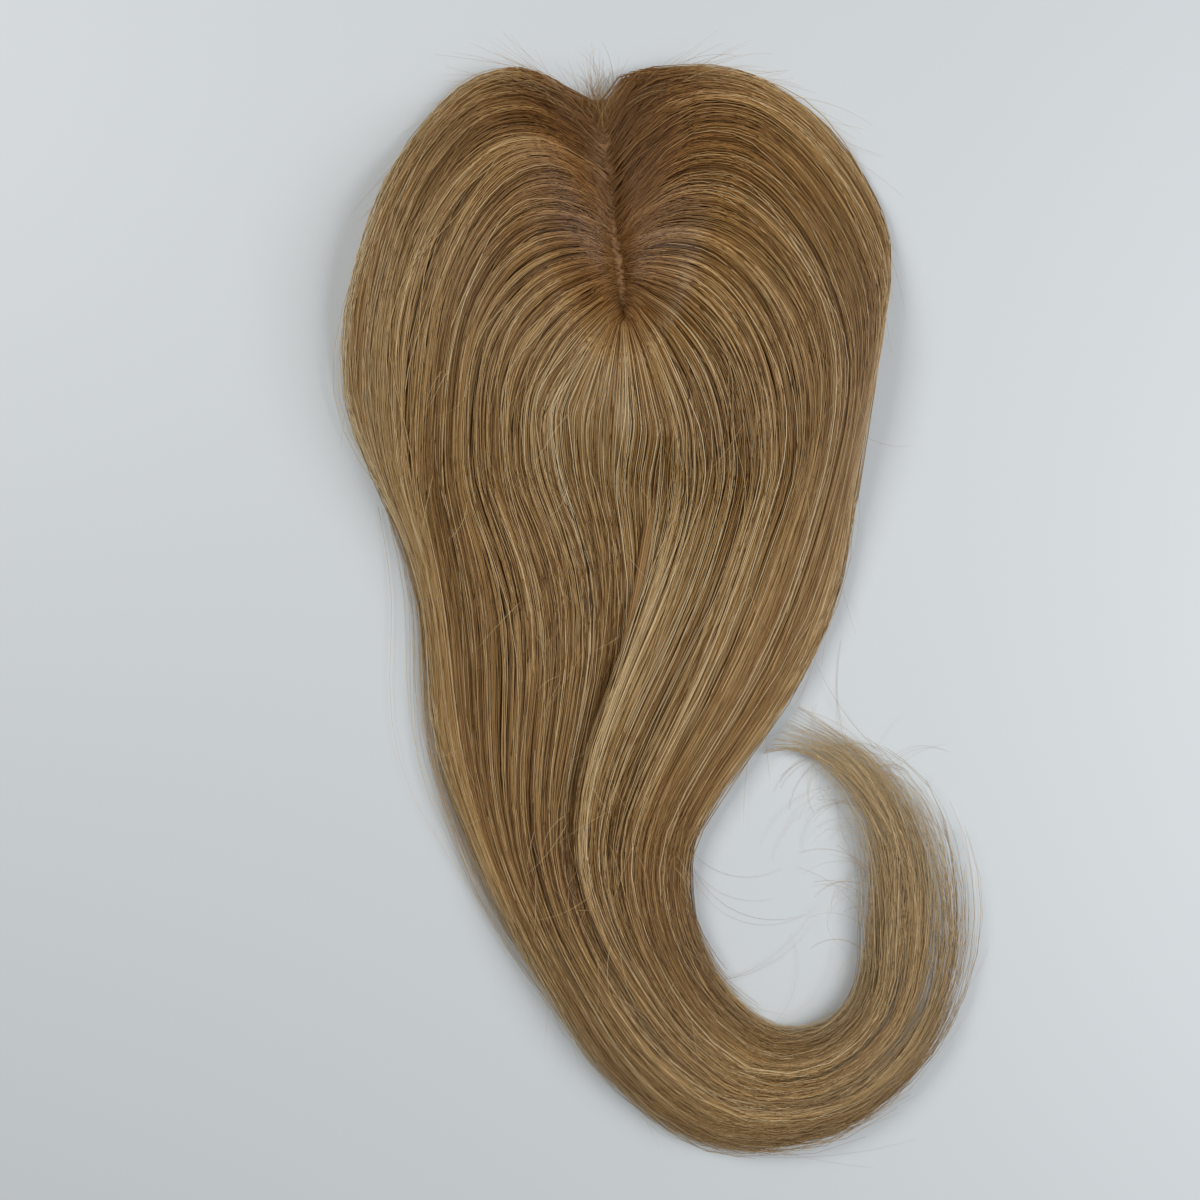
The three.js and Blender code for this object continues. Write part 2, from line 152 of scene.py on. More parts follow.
PATH_STEPS = 20


def columns(names, rows):
    """Columns of a table by name."""
    return dict(zip(names, np.array(rows, dtype=float).T))


SECTIONS = columns(SECTION_COLUMNS, SECTION_ROWS)
GUIDES = columns(GUIDE_COLUMNS, GUIDE_ROWS)

# Where the crown's middle lies in the frame, from the base's own box.
base_low, base_high = (np.array(corner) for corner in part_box("base_cap"))
CROWN_PLACE = (base_low + base_high) / 2 / MM - np.array([0, CAP_CENTRE_Y, 0])
CROWN_PLACE[2] = 0


def rise(low, high, value):
    """0 up to low, 1 from high on, smooth between."""
    share = np.clip((value - low) / (high - low), 0, 1)
    return share * share * (3 - 2 * share)


def fade(low, high, value):
    """1 up to low, 0 from high on, smooth between."""
    return 1 - rise(low, high, value)


def bell(value, middle, spread):
    """1 in the middle, falling off to both sides."""
    return np.exp(-(((value - middle) / spread) ** 2))


def mix(low, high, share):
    return low + (high - low) * share


# The lie of the hair


def cap_height(points):
    """Height of the silk base over points of the table, 0 outside its rim."""
    x = points[..., 0]
    along = points[..., 1] - CAP_CENTRE_Y
    angle = np.arctan2(along, x)
    across_part = np.abs(np.cos(angle) / CAP_HALF_WIDTH) ** CAP_SQUARENESS
    along_part = np.abs(np.sin(angle) / CAP_HALF_LENGTH) ** CAP_SQUARENESS
    rim = (across_part + along_part) ** (-1 / CAP_SQUARENESS)
    share = np.clip(np.hypot(x, along) / rim, 0, 1)
    return CAP_RISE * np.sqrt(1 - share**2) ** CAP_FULLNESS


def crown_height(points):
    """Height of the swell of hair over points of the table."""
    along = points[..., 1] - CROWN_CENTRE_Y
    half_length = np.where(along > 0, CROWN_FRONT, CROWN_BACK)
    share = np.clip((points[..., 0] / CROWN_HALF_WIDTH) ** 2 + (along / half_length) ** 2, 0, 1)
    return mix(EDGE_HEIGHT, CROWN_HEIGHT, (1 - share) ** CROWN_ROUNDING)


def root_points(root):
    """Where hair leaves the parting: down its left side, round the whorl and up its right side."""
    run = PARTING_BACK - PARTING_FRONT
    side = np.array([run[1], -run[0]]) / np.hypot(*run) * PARTING_HALF_GAP
    left = PARTING_FRONT + root[:, None] * run + side
    right = PARTING_BACK + (2 - root[:, None]) * run - side
    turn = math.pi * root
    round_end = np.stack([np.cos(turn) * PARTING_HALF_GAP, np.sin(turn) * WHORL_RADIUS], 1) + PARTING_BACK
    return np.where(root[:, None] <= 1, left, np.where(root[:, None] >= 2, right, round_end))


def guide_points():
    """Points of every guide, from the parting over the crown and down the fall."""
    root = root_points(GUIDES["root"])
    turn = np.radians(SWEEP_ANGLES)
    share = SWEEP_ANGLES / 90
    in_fan = bell(np.arange(LAST_GUIDE + 1), FAN_GUIDE, FAN_SPREAD)[:, None]
    out = mix(np.sin(turn) ** SWEEP_OUT_POWER, np.sin(turn), in_fan)
    back = 1 - np.maximum(np.cos(turn), 0) ** SWEEP_BACK_POWER
    back = mix(back, np.sin(turn), in_fan)
    lift = share * (1 - share) ** LIFT_FADE / LIFT_PEAK
    x = mix(root[:, :1], GUIDES["temple_x"][:, None], out)
    y = mix(root[:, 1:], GUIDES["temple_y"][:, None], back) + GUIDES["lift"][:, None] * lift
    sweep = np.stack([x, y, np.zeros(x.shape)], 2)
    root_height = cap_height(root)[:, None] + ROOT_HEIGHT
    sweep[..., 2] = mix(root_height, crown_height(sweep), rise(0, SWEEP_FULL_HEIGHT_ANGLE, SWEEP_ANGLES))
    rows = np.arange(len(SECTION_ROWS))
    to_hip = np.clip(rows / HIP_ROW, 0, 1)
    to_waist = np.clip((rows - HIP_ROW) / (WAIST_ROW - HIP_ROW), 0, 1)
    lane = mix(GUIDES["shoulder"][:, None], GUIDES["hip"][:, None], to_hip)
    lane = mix(lane, GUIDES["waist"][:, None], to_waist)
    heap = (1 - np.abs(2 * lane - 1) ** FALL_FLATNESS) ** FALL_ROUNDING
    fall_x = mix(SECTIONS["left_x"], SECTIONS["right_x"], lane)
    fall_y = mix(SECTIONS["left_y"], SECTIONS["right_y"], lane)
    fall_z = mix(EDGE_HEIGHT, SECTIONS["height"], heap)
    return np.concatenate([sweep, np.stack([fall_x, fall_y, fall_z], 2)], axis=1)


def smooth_paths(points, steps):
    """Smooth curves through the points of each row, with a number of steps between neighbours."""
    before = 2 * points[:, :1] - points[:, 1:2]
    after = 2 * points[:, -1:] - points[:, -2:-1]
    padded = np.concatenate([before, points, after], axis=1)
    spacing = np.sqrt(np.linalg.norm(np.diff(padded, axis=1), axis=2, keepdims=True))
    p0, p1, p2, p3 = padded[:, :-3], padded[:, 1:-2], padded[:, 2:-1], padded[:, 3:]
    d0, d1, d2 = spacing[:, :-2], spacing[:, 1:-1], spacing[:, 2:]
    start = ((p1 - p0) / d0 - (p2 - p0) / (d0 + d1) + (p2 - p1) / d1) * d1
    end = ((p2 - p1) / d1 - (p3 - p1) / (d1 + d2) + (p3 - p2) / d2) * d1
    t = (np.arange(steps) / steps)[None, None, :, None]
    p1, p2, start, end = (part[:, :, None] for part in (p1, p2, start, end))
    curve = p1 * (2 * t**3 - 3 * t**2 + 1) + start * (t**3 - 2 * t**2 + t)
    curve = curve + p2 * (3 * t**2 - 2 * t**3) + end * (t**3 - t**2)
    rows = curve.reshape(len(points), -1, 3)
    return np.concatenate([rows, points[:, -1:]], axis=1)


def eased(rows, spread):
    """Rows of points with their bends eased over a number of steps."""
    reach = 3 * spread
    weights = np.exp(-0.5 * (np.arange(-reach, reach + 1) / spread) ** 2)
    weights /= weights.sum()
    before = 2 * rows[:, :1] - rows[:, reach:0:-1]
    after = 2 * rows[:, -1:] - rows[:, -2 : -reach - 2 : -1]
    padded = np.concatenate([before, rows, after], axis=1)
    total = np.zeros(rows.shape)
    for place, weight in enumerate(weights):
        total += weight * padded[:, place : place + rows.shape[1]]
    return total


# Bends are eased from the temple to the waist, where the guides turn from the crown into the fall.
EASE_STEPS = 13
OUTLINE_EASE_STEPS = 9
OUTLINE_GUIDES = 3
EASE_IN = (3, 6)
EASE_OUT = (14, 17)
path_stations = np.arange(LAST_STATION * PATH_STEPS + 1) / PATH_STEPS
ease_share = rise(*EASE_IN, path_stations) * fade(*EASE_OUT, path_stations)
from_outline = np.minimum(np.arange(LAST_GUIDE + 1), np.arange(LAST_GUIDE, -1, -1))
inner_share = rise(0, OUTLINE_GUIDES, from_outline)[:, None, None]
sharp_paths = smooth_paths(guide_points(), PATH_STEPS)
eased_paths = mix(eased(sharp_paths, OUTLINE_EASE_STEPS), eased(sharp_paths, EASE_STEPS), inner_share)
paths = mix(sharp_paths, eased_paths, ease_share[None, :, None])


def flow(guide, station, over):
    """Top of the hair at places between guides and stations along them. over is 1 on the right-hand fold."""
    inside = np.clip(guide, 0, LAST_GUIDE)
    low = np.minimum(inside.astype(int), LAST_GUIDE - 1)
    f = (inside - low)[..., None]
    step = np.clip(station, 0, LAST_STATION) * PATH_STEPS
    at = np.minimum(step.astype(int), paths.shape[1] - 2)
    part = (step - at)[..., None]
    a, b, c, d = (
        mix(paths[np.clip(row, 0, LAST_GUIDE), at], paths[np.clip(row, 0, LAST_GUIDE), at + 1], part)
        for row in (low - 1, low, low + 1, low + 2)
    )
    top = b + 0.5 * f * (c - a + f * (2 * a - 5 * b + 4 * c - d + f * (3 * (b - c) + d - a)))
    top[..., 2] += over * fold_height(station) * np.exp(np.minimum(FOLD_GUIDE - guide, 0) / FOLD_SPREAD)
    return top


def fold_height(station):
    return np.interp(station - FIRST_FALL, np.arange(len(SECTION_ROWS)), SECTIONS["fold"])


def reach(guide):
    return FIRST_FALL + np.interp(guide, np.arange(LAST_GUIDE + 1), GUIDES["reach"])


def front_share(guide):
    """1 for hair rooted at the front end of the parting, 0 for hair rooted round the whorl."""
    root = np.interp(guide, np.arange(LAST_GUIDE + 1), GUIDES["root"])
    return np.clip(np.maximum(1 - root, root - 2), 0, 1)


def waves(random, station, member, size, wavelengths):
    """Slow random waves along strands, of a size and wavelengths, the same for all strands of one member."""
    total = np.zeros(station.shape)
    for wavelength in wavelengths:
        phase = random.uniform(0, 1, member.max() + 1)[member][:, None]
        swing = random.normal(0, 1, member.max() + 1)[member][:, None]
        total += swing * np.sin(2 * math.pi * (station / wavelength + phase))
    return total / math.sqrt(len(wavelengths)) * size


# Meshes of strands

STRAND_SIDES = 3
TONE_SPREAD = 0.004
BAKE_MAP = "OFBake"


def new_object(name, data):
    """An object in the scene for a mesh, a camera or a light."""
    thing = bpy.data.objects.new(name, data)
    bpy.context.collection.objects.link(thing)
    return thing


def strand_mesh(name, groups):
    """One mesh of closed strands from groups of points (strand, point, xyz), radii, tones and map ends."""
    corners, uvs, quads, caps = [], [], [], []
    used = 0
    for points, radius, tone, along_end in groups:
        count, length = points.shape[:2]
        along = np.gradient(points, axis=1)
        along /= np.maximum(np.linalg.norm(along, axis=2, keepdims=True), 1e-9)
        side = np.cross(along, np.array([0.0, 0.0, 1.0]))
        side /= np.maximum(np.linalg.norm(side, axis=2, keepdims=True), 1e-6)
        up = np.cross(side, along)
        turn = 2 * math.pi * np.arange(STRAND_SIDES) / STRAND_SIDES + math.pi / 2
        ring = np.cos(turn)[:, None] * side[:, :, None] + np.sin(turn)[:, None] * up[:, :, None]
        corners.append((points[:, :, None] + ring * radius[:, :, None, None]).reshape(-1, 3))
        index = used + np.arange(count * length * STRAND_SIDES).reshape(count, length, STRAND_SIDES)
        used += index.size
        beside = np.roll(index, -1, axis=2)
        walls = np.stack([index[:, :-1], index[:, 1:], beside[:, 1:], beside[:, :-1]], -1)
        quads.append(walls.reshape(-1, 4))
        caps.append(index[:, 0])
        caps.append(index[:, -1, ::-1])
        u = tone[:, :, None] + (np.arange(STRAND_SIDES) - 1) * TONE_SPREAD + np.zeros(index.shape)
        v = np.linspace(0, along_end, length)[None, :, None] + np.zeros(index.shape)
        uvs.append(np.stack([u.ravel(), v.ravel()], 1))
    corners = (np.concatenate(corners) + CROWN_PLACE) * MM
    quads = np.concatenate(quads)
    caps = np.concatenate(caps)
    loops = np.concatenate([quads.ravel(), caps.ravel()])
    sizes = np.concatenate([np.full(len(quads), 4), np.full(len(caps), STRAND_SIDES)])
    mesh = bpy.data.meshes.new(name)
    mesh.vertices.add(len(corners))
    mesh.vertices.foreach_set("co", corners.astype(np.float32).ravel())
    mesh.loops.add(len(loops))
    mesh.loops.foreach_set("vertex_index", loops.astype(np.int32))
    mesh.polygons.add(len(sizes))
    mesh.polygons.foreach_set("loop_start", (np.cumsum(sizes) - sizes).astype(np.int32))
    mesh.polygons.foreach_set("use_smooth", np.ones(len(sizes), dtype=bool))
    mesh.update(calc_edges=True)
    uv_map = mesh.uv_layers.new(name=BAKE_MAP)
    uv_map.data.foreach_set("uv", np.concatenate(uvs)[loops].astype(np.float32).ravel())
    mesh.validate()
    return new_object(name, mesh)


# Combed strands. A hair is 0.07 mm thick; strands are 0.18 to 0.36 mm, so each stands for several hairs.
# Places across the hair are in guides, places along it in stations or in rows from the top of the fall.

# Wisps and locks, and how strands lie in them.
LOCKS_PER_GUIDE = 2.2
WISPS_PER_LOCK = 5
LOCK_PLACES = (0.2, 0.8)
WISP_REACH = 0.75
WISP_WIDTH = 0.35
FILL_SHARE = 0.5
LOOSE_SHARE = 0.13
RIM_SHARE = 0.14
RIM_SPREAD = 0.25
PIECE_OVERLAP = 0.3
LAYER_DEPTH = 0.45
DEEPEST_LAYER = 2.2
EDGE_GUIDES = 0.7
EDGE_HANG = 0.95
IN_FAN_SPREAD = 3


def gather_hank(random, first, last, count):
    """A hank of strands between two guides: the place, wisp and lock of each, its depth and its looseness."""
    lock_count = max(1, round((last - first) * LOCKS_PER_GUIDE))
    wisp_count = lock_count * WISPS_PER_LOCK
    wisp = random.integers(0, wisp_count, count)
    wisp[-1] = wisp_count - 1
    lock_place = np.arange(lock_count) + random.uniform(*LOCK_PLACES, lock_count)
    lock_middle = first + lock_place / lock_count * (last - first)
    wisp_place = random.uniform(-WISP_REACH, WISP_REACH, wisp_count) / LOCKS_PER_GUIDE
    home = lock_middle[wisp % lock_count] + wisp_place[wisp]
    home += random.normal(0, WISP_WIDTH, count) / LOCKS_PER_GUIDE / WISPS_PER_LOCK
    filling = random.uniform(0, 1, count) < FILL_SHARE
    home = np.where(filling, random.uniform(first, last, count), home)
    at_rim = random.uniform(0, 1, count) < RIM_SHARE
    from_rim = np.abs(random.normal(0, RIM_SPREAD, count))
    if first == 0:
        home = np.where(at_rim, from_rim, home)
    if last == LAST_GUIDE:
        home = np.where(at_rim, LAST_GUIDE - from_rim, home)
    lowest = max(first - PIECE_OVERLAP, 0)
    highest = min(last + PIECE_OVERLAP, LAST_GUIDE)
    home = highest - np.abs(highest - lowest - np.abs(home - lowest))
    hank = SimpleNamespace(count=count, home=home, wisp=wisp, lock_middle=lock_middle)
    hank.lock = np.abs(home[:, None] - lock_middle).argmin(axis=1)
    hank.loose = (random.uniform(0, 1, count) < LOOSE_SHARE)[:, None]
    hank.depth = np.minimum(random.exponential(LAYER_DEPTH, count), DEEPEST_LAYER)[:, None]
    hank.edge = np.clip(1 - np.minimum(home, LAST_GUIDE - home) / EDGE_GUIDES, 0, 1)
    hank.hang = (random.uniform(0, EDGE_HANG, count) * hank.edge)[:, None]
    hank.in_fan = bell(home, FAN_GUIDE, IN_FAN_SPREAD)[:, None]
    return hank


# Where strands begin and end, and the share of their points up to a few stations.
LONG_POINTS = 46
SHORT_POINTS = 36
SHARE_STATIONS = (0, 2, 8, 13)
LONG_SHARES = (0, 0.065, 0.385, 0.565)
SHORT_SHARES = (0, 0.08, 0.5, 0.74)
LONG_PAST_REACH = (-3.8, 1.0)
SHORT_END_ROWS = (6.5, 11.5)
POINT_JITTER = 0.4
ROOT_START = 0.35
WHORL_START = 0.5
WHORL_SPREAD = 2.2
START_FADE = 3
LONG_TIP_SPREAD = 6.0
SHORT_TIP_SPREAD = 2.5
TIP_SPREAD_ROWS = (11.5, 15)


def run_along(random, hank, long):
    """Stations of every point: short strands stop in the tail, long ones run on towards its tip."""
    if long:
        end = reach(hank.home) + random.uniform(*LONG_PAST_REACH, hank.count)
        length = LONG_POINTS
        shares = LONG_SHARES
        hank.tip_spread = SHORT_TIP_SPREAD + LONG_TIP_SPREAD * rise(*TIP_SPREAD_ROWS, end - FIRST_FALL)
    else:
        end = FIRST_FALL + random.uniform(*SHORT_END_ROWS, hank.count)
        length = SHORT_POINTS
        shares = SHORT_SHARES
        hank.tip_spread = SHORT_TIP_SPREAD
    end = np.minimum(end, LAST_STATION)[:, None]
    hank.share = np.linspace(0, 1, length)[None]
    even = hank.share + random.uniform(-POINT_JITTER, POINT_JITTER, (hank.count, 1)) / length
    even = np.clip(even, 0, 1)
    even[:, 0] = 0
    even[:, -1] = 1
    tail = np.clip((even - shares[-1]) / (1 - shares[-1]), 0, 1)
    station = np.interp(even, shares, SHARE_STATIONS) + tail * (end - SHARE_STATIONS[-1])
    latest_start = mix(ROOT_START, WHORL_START, bell(hank.home, FAN_GUIDE, WHORL_SPREAD))
    start = random.uniform(0, 1, hank.count) * latest_start
    hank.station = station + start[:, None] * np.clip(1 - station / START_FADE, 0, 1)
    hank.row = hank.station - FIRST_FALL


# Sideways drift: its size in guides, and its wavelengths in stations.
LOCK_DRIFT = (0.07, (9.0, 15.0))
WISP_DRIFT = (0.035, (6.0, 11.0))
OWN_DRIFT = 0.03
LOOSE_DRIFT = 0.15
EDGE_DRIFT = 0.09
OWN_DRIFT_WAVES = (4.0, 9.0)
DRIFT_STATIONS = (0.8, 5)
FAN_CALM = 0.8
FAN_CALM_STATIONS = (7, 9.5)


def drift(random, hank):
    """Place across the hair of every point, with a slow drift that is calmer in the fan."""
    own_size = np.where(hank.loose, LOOSE_DRIFT, OWN_DRIFT) + EDGE_DRIFT * hank.edge[:, None]
    steps = waves(random, hank.station, hank.lock, *LOCK_DRIFT)
    steps = steps + waves(random, hank.station, hank.wisp, *WISP_DRIFT)
    steps = steps + waves(random, hank.station, np.arange(hank.count), own_size, OWN_DRIFT_WAVES)
    calm = FAN_CALM * hank.in_fan * fade(*FAN_CALM_STATIONS, hank.station)
    hank.guide = hank.home[:, None] + steps * rise(*DRIFT_STATIONS, hank.station) * (1 - calm)


# The fold, where the right-hand hair first bows out and then laps over the rest.
LAP_OUT = 0.45
LAP_OUT_ROWS = (-1, 1.5)
LAP_OVER = 0.5
LAP_OVER_ROWS = (1.5, 4)
LAP_END_ROWS = (5, 8)
LAP_GUIDES = 4
ROLL_GUIDES = 0.8
TUCK_UNDER = 1.3
TUCK_ROWS = (-0.2, 3.2)
TUCK_BACK = 0.5
TUCK_BACK_ROWS = (3.2, 7.5)
TUCK_GUIDES = (0.5, 7)
TUCK_DEPTH = 0.8
TUCK_DEPTH_GUIDES = (6, 9)
TUCK_DEPTH_ROWS = (-1.5, 1)


def lap_over(random, hank):
    """Right-hand hair laps over the rest, and its edge rolls down to it."""
    crossing = rise(*LAP_OVER_ROWS, hank.row)
    lap = LAP_OUT * (rise(*LAP_OUT_ROWS, hank.row) - crossing)
    lap = lap - LAP_OVER * (crossing - rise(*LAP_END_ROWS, hank.row))
    hank.guide += lap * fade(FOLD_GUIDE, FOLD_GUIDE + LAP_GUIDES, hank.home)[:, None]
    roll = random.uniform(0, 1, hank.count) * fade(FOLD_GUIDE, FOLD_GUIDE + ROLL_GUIDES, hank.home)
    hank.depth = hank.depth + roll[:, None] * fold_height(hank.station)


def tuck_under(hank):
    """The rest of the hair runs in under the fold."""
    tuck = rise(*TUCK_ROWS, hank.row) - TUCK_BACK * rise(*TUCK_BACK_ROWS, hank.row)
    hank.guide += TUCK_UNDER * tuck * rise(*TUCK_GUIDES, hank.home)[:, None]
    sunk = TUCK_DEPTH * rise(*TUCK_DEPTH_GUIDES, hank.home)[:, None]
    hank.depth = hank.depth + sunk * rise(*TUCK_DEPTH_ROWS, hank.row)


# Locks of the tail: the guides where it splits and how far, and the guides that its hair gathers to.
TAIL_SPLITS = ((2.2, 0.9), (7.5, 2.2), (13.0, 0.8))
SPLIT_SPREAD = 1.8
SPLIT_ROWS = (8, 12)
OUTER_LOCKS = (1.1, 4.6)
OUTER_GATHER = 0.45
OUTER_GATHER_ROWS = (8.5, 12)
TIP_GUIDE = 15.0
TIP_GATHER = 0.45
TIP_GATHER_ROWS = (11, 15)


def split_tail(hank):
    """Outer hair of the tail gathers in two locks, the rest at its tip, and gaps open between them."""
    home = hank.home
    outermost_end = TAIL_SPLITS[0][0]
    outer_end = TAIL_SPLITS[1][0]
    to_lock = np.where(home < outermost_end, *OUTER_LOCKS) - home
    to_lock = np.where(home < outer_end, OUTER_GATHER * to_lock, 0)
    hank.guide += to_lock[:, None] * rise(*OUTER_GATHER_ROWS, hank.row)
    to_tip = np.where(home > outer_end, TIP_GATHER * (TIP_GUIDE - home), 0)
    hank.guide += to_tip[:, None] * rise(*TIP_GATHER_ROWS, hank.row)
    for place, size in TAIL_SPLITS:
        split = size * np.sign(home - place) * bell(home, place, SPLIT_SPREAD)
        hank.guide += split[:, None] * rise(*SPLIT_ROWS, hank.row)


# Ends of strands.
EDGE_SPACING = 7.0
ACROSS_STEP = 0.1
FARTHEST_TIP = 10.0
TIP_SHARES = (0.7, 1.05)
LOOSEN_ROWS = (9, 14)
WISP_LOOSENESS = (0.9, (3.0, 5.0))
OWN_LOOSENESS = (0.6, (2.5, 4.0))
TIP_CURL = 9.0
TIP_CURL_ROWS = (13, 16.5)


def spread_tips(random, hank, over):
    """Strands past the outline stand out sideways, tips spread, and the end of the tail curls to the left."""
    inner = np.clip(hank.guide, ACROSS_STEP, LAST_GUIDE - ACROSS_STEP)
    across = flow(inner + ACROSS_STEP, hank.station, over)
    across -= flow(inner - ACROSS_STEP, hank.station, over)
    across[..., 2] = 0
    across /= np.maximum(np.linalg.norm(across, axis=2, keepdims=True), 1e-6)
    loosen = rise(*LOOSEN_ROWS, hank.row)
    tip_offset = np.clip(random.normal(0, 1, hank.count) * hank.tip_spread, -FARTHEST_TIP, FARTHEST_TIP)
    spread = tip_offset[:, None] * rise(*TIP_SHARES, hank.share) ** 2
    spread = spread + waves(random, hank.station, hank.wisp, *WISP_LOOSENESS) * loosen
    spread = spread + waves(random, hank.station, np.arange(hank.count), *OWN_LOOSENESS) * loosen
    beyond = (hank.guide - np.clip(hank.guide, 0, LAST_GUIDE)) * EDGE_SPACING + spread
    hank.points += across * beyond[..., None]
    hank.points[..., 0] -= TIP_CURL * rise(*TIP_CURL_ROWS, hank.row)


# Heights of locks and layers. A tuft is the fuller stretch of a lock where it turns over the crown.
LOCK_ROUNDNESS = 1.7
LOCK_LIFT = 0.3
TUFT_LIFT = 0.6
TUFT_BELL = (2.6, 1.9)
FAN_TUFT_LOSS = 0.6
LOCK_RIPPLE = (0.15, (7.0, 12.0))
WISP_RIPPLE = (0.12, (5.0, 9.0))
LOOSE_LIFT = 0.25
SETTLE_STATIONS = 2.5
FULL_HEIGHT = 14
LEAST_LIFT_SHARE = 0.3
ROOT_CLEAR = 0.1
ROOT_STATIONS = 1.5


def lift_layers(random, hank):
    """Height of every point: rounded locks, deeper layers, and edges that hang to the table."""
    from_middle = (hank.home - hank.lock_middle[hank.lock]) * LOCKS_PER_GUIDE * LOCK_ROUNDNESS
    hank.from_middle = np.clip(from_middle, -1, 1)
    hank.tuft = bell(hank.station, *TUFT_BELL) * (1 - FAN_TUFT_LOSS * hank.in_fan)
    lift = (1 - hank.from_middle**2)[:, None] * (LOCK_LIFT + TUFT_LIFT * hank.tuft)
    lift = lift + waves(random, hank.station, hank.lock, *LOCK_RIPPLE)
    lift = lift + waves(random, hank.station, hank.wisp, *WISP_RIPPLE)
    hank.lift = lift + np.where(hank.loose, LOOSE_LIFT, 0)
    height = hank.points[..., 2]
    thin = np.clip(height / FULL_HEIGHT, LEAST_LIFT_SHARE, 1)
    height += (hank.lift * thin - hank.depth - hank.hang * height) * rise(0, SETTLE_STATIONS, hank.station)
    height -= (ROOT_HEIGHT - ROOT_CLEAR) * fade(0, ROOT_STATIONS, hank.station)


# Roots along the parting. front is 1 at its front end and 0 at the whorl.
LEAN = 21.0
LEAN_POWER = 0.6
LEAN_FRONT = (0.05, 0.7)
LEAN_RANGE = (0.6, 1.3)
LEAN_STATIONS = 2.4
ROOT_JITTER = 1.3
ROOT_JITTER_FRONT = (0, 0.15)
NOTCH_DEPTH = 4.0
NOTCH_FRONT = (0.6, 1)
SHOULDER_FORWARD = 7.0
SHOULDER_BELL = (0.9, 0.75)
SHOULDER_START = 0.5
CROSS_RANGE = (0.9, 1.8)
CROSS_FRONT = (0.35, 0.6)
CROSS_STATIONS = 1.8
SCALP_HALF_WIDTH = 0.3
SCALP_BACK = (-0.05, 0.1)
SCALP_FRONT = (0.3, 0.45)
CROWN_STATIONS = 2
parting_run = (PARTING_BACK - PARTING_FRONT) / np.hypot(*(PARTING_BACK - PARTING_FRONT))
parting_side = np.array([-parting_run[1], parting_run[0]])


def lean_roots(random, hank, over):
    """Near the roots hair leans forward along the parting; at the front it crosses over it."""
    front = front_share(hank.home)
    points = hank.points
    lean_size = LEAN * rise(*LEAN_FRONT, front) * (1 - front) ** LEAN_POWER
    back_off = lean_size * random.uniform(*LEAN_RANGE, hank.count)
    back_off = back_off + random.normal(0, ROOT_JITTER, hank.count) * rise(*ROOT_JITTER_FRONT, front)
    back_off = back_off + NOTCH_DEPTH * rise(*NOTCH_FRONT, front)
    lean = np.clip(1 - hank.station / LEAN_STATIONS, 0, 1) ** 2
    shoulder = SHOULDER_FORWARD * over * rise(*NOTCH_FRONT, front)[:, None]
    shoulder = shoulder * bell(hank.station, *SHOULDER_BELL)
    shoulder = shoulder * rise(0, SHOULDER_START, hank.station)
    before = points[..., :2].copy()
    points[..., :2] += (back_off[:, None] * lean - shoulder)[..., None] * parting_run
    cross = random.normal(0, 1, hank.count) * mix(*CROSS_RANGE, rise(*CROSS_FRONT, front))
    bare = SCALP_HALF_WIDTH * rise(*SCALP_BACK, front) * fade(*SCALP_FRONT, front)
    cross = cross + bare * np.where(over, 1, np.sign(hank.home - FAN_GUIDE))
    cross = cross[:, None] * fade(0, CROSS_STATIONS, hank.station)
    points[..., :2] += cross[..., None] * parting_side
    crown_change = crown_height(points) - crown_height(before)
    cap_change = cap_height(points) - cap_height(before)
    points[..., 2] += mix(cap_change, crown_change, rise(0, CROWN_STATIONS, hank.station))
    hank.front = front


# Room that layers keep over the silk base and the table.
LAYER_ROOM = 1.2
DEPTH_ROOM = 0.7
HANG_ROOM = 4
BASE_CLEAR = 0.15
TABLE_CLEAR = 0.3


def keep_above(hank):
    """No point lies in the silk base or the table."""
    room = np.maximum(LAYER_ROOM + hank.lift - DEPTH_ROOM * hank.depth - HANG_ROOM * hank.hang, 0)
    base = cap_height(hank.points) + BASE_CLEAR + room * rise(0, ROOT_STATIONS, hank.station)
    hank.points[..., 2] = np.maximum(hank.points[..., 2], np.maximum(base, TABLE_CLEAR))


# Tones run from 0, the darkest hair, to 1, the palest.
MIDDLE_TONE = 0.5
TONE_LIMITS = (0.08, 0.97)
BAND_SEED = 41
BANDS_PER_GUIDE = 0.8
BAND_TONE = 0.04
# Painted shade over the left-hand hair.
LEFT_SHADE = -0.05
LEFT_GUIDES = (3, 7)
LOCK_TONE = 0.04
WISP_TONE = 0.05
OWN_TONES = (0.17, 0.28)
OWN_TONE_BELL = (10, 4.5)
# Painted shade on deeper strands.
DEPTH_SHADE = 0.03
LOOSE_TONE = 0.1
# Painted light on edge strands.
EDGE_LIGHT = 0.12
# Painted light on the middle of each tuft and painted shade at its borders.
TUFT_LIGHT_AND_SHADE = 0.08
# Painted light along the outline of the crown.
RIM_LIGHT = 0.14
RIM_GUIDES = 1.2
RIM_BELL = (3.2, 2)
NOTCH_SHADES = (0.18, 0.1)
NOTCH_SHADE_FRONT = (0.5, 1)
NOTCH_SHADE_STATIONS = (1.4, 3.4)


def band_tones(home):
    """Broad bands of paler and darker hair across the guides, and painted shade over the left-hand hair."""
    random = np.random.default_rng(BAND_SEED)
    places = np.arange(round(LAST_GUIDE * BANDS_PER_GUIDE) + 2) / BANDS_PER_GUIDE
    bands = np.interp(home, places, random.normal(0, BAND_TONE, len(places)))
    return bands + LEFT_SHADE * fade(*LEFT_GUIDES, home)


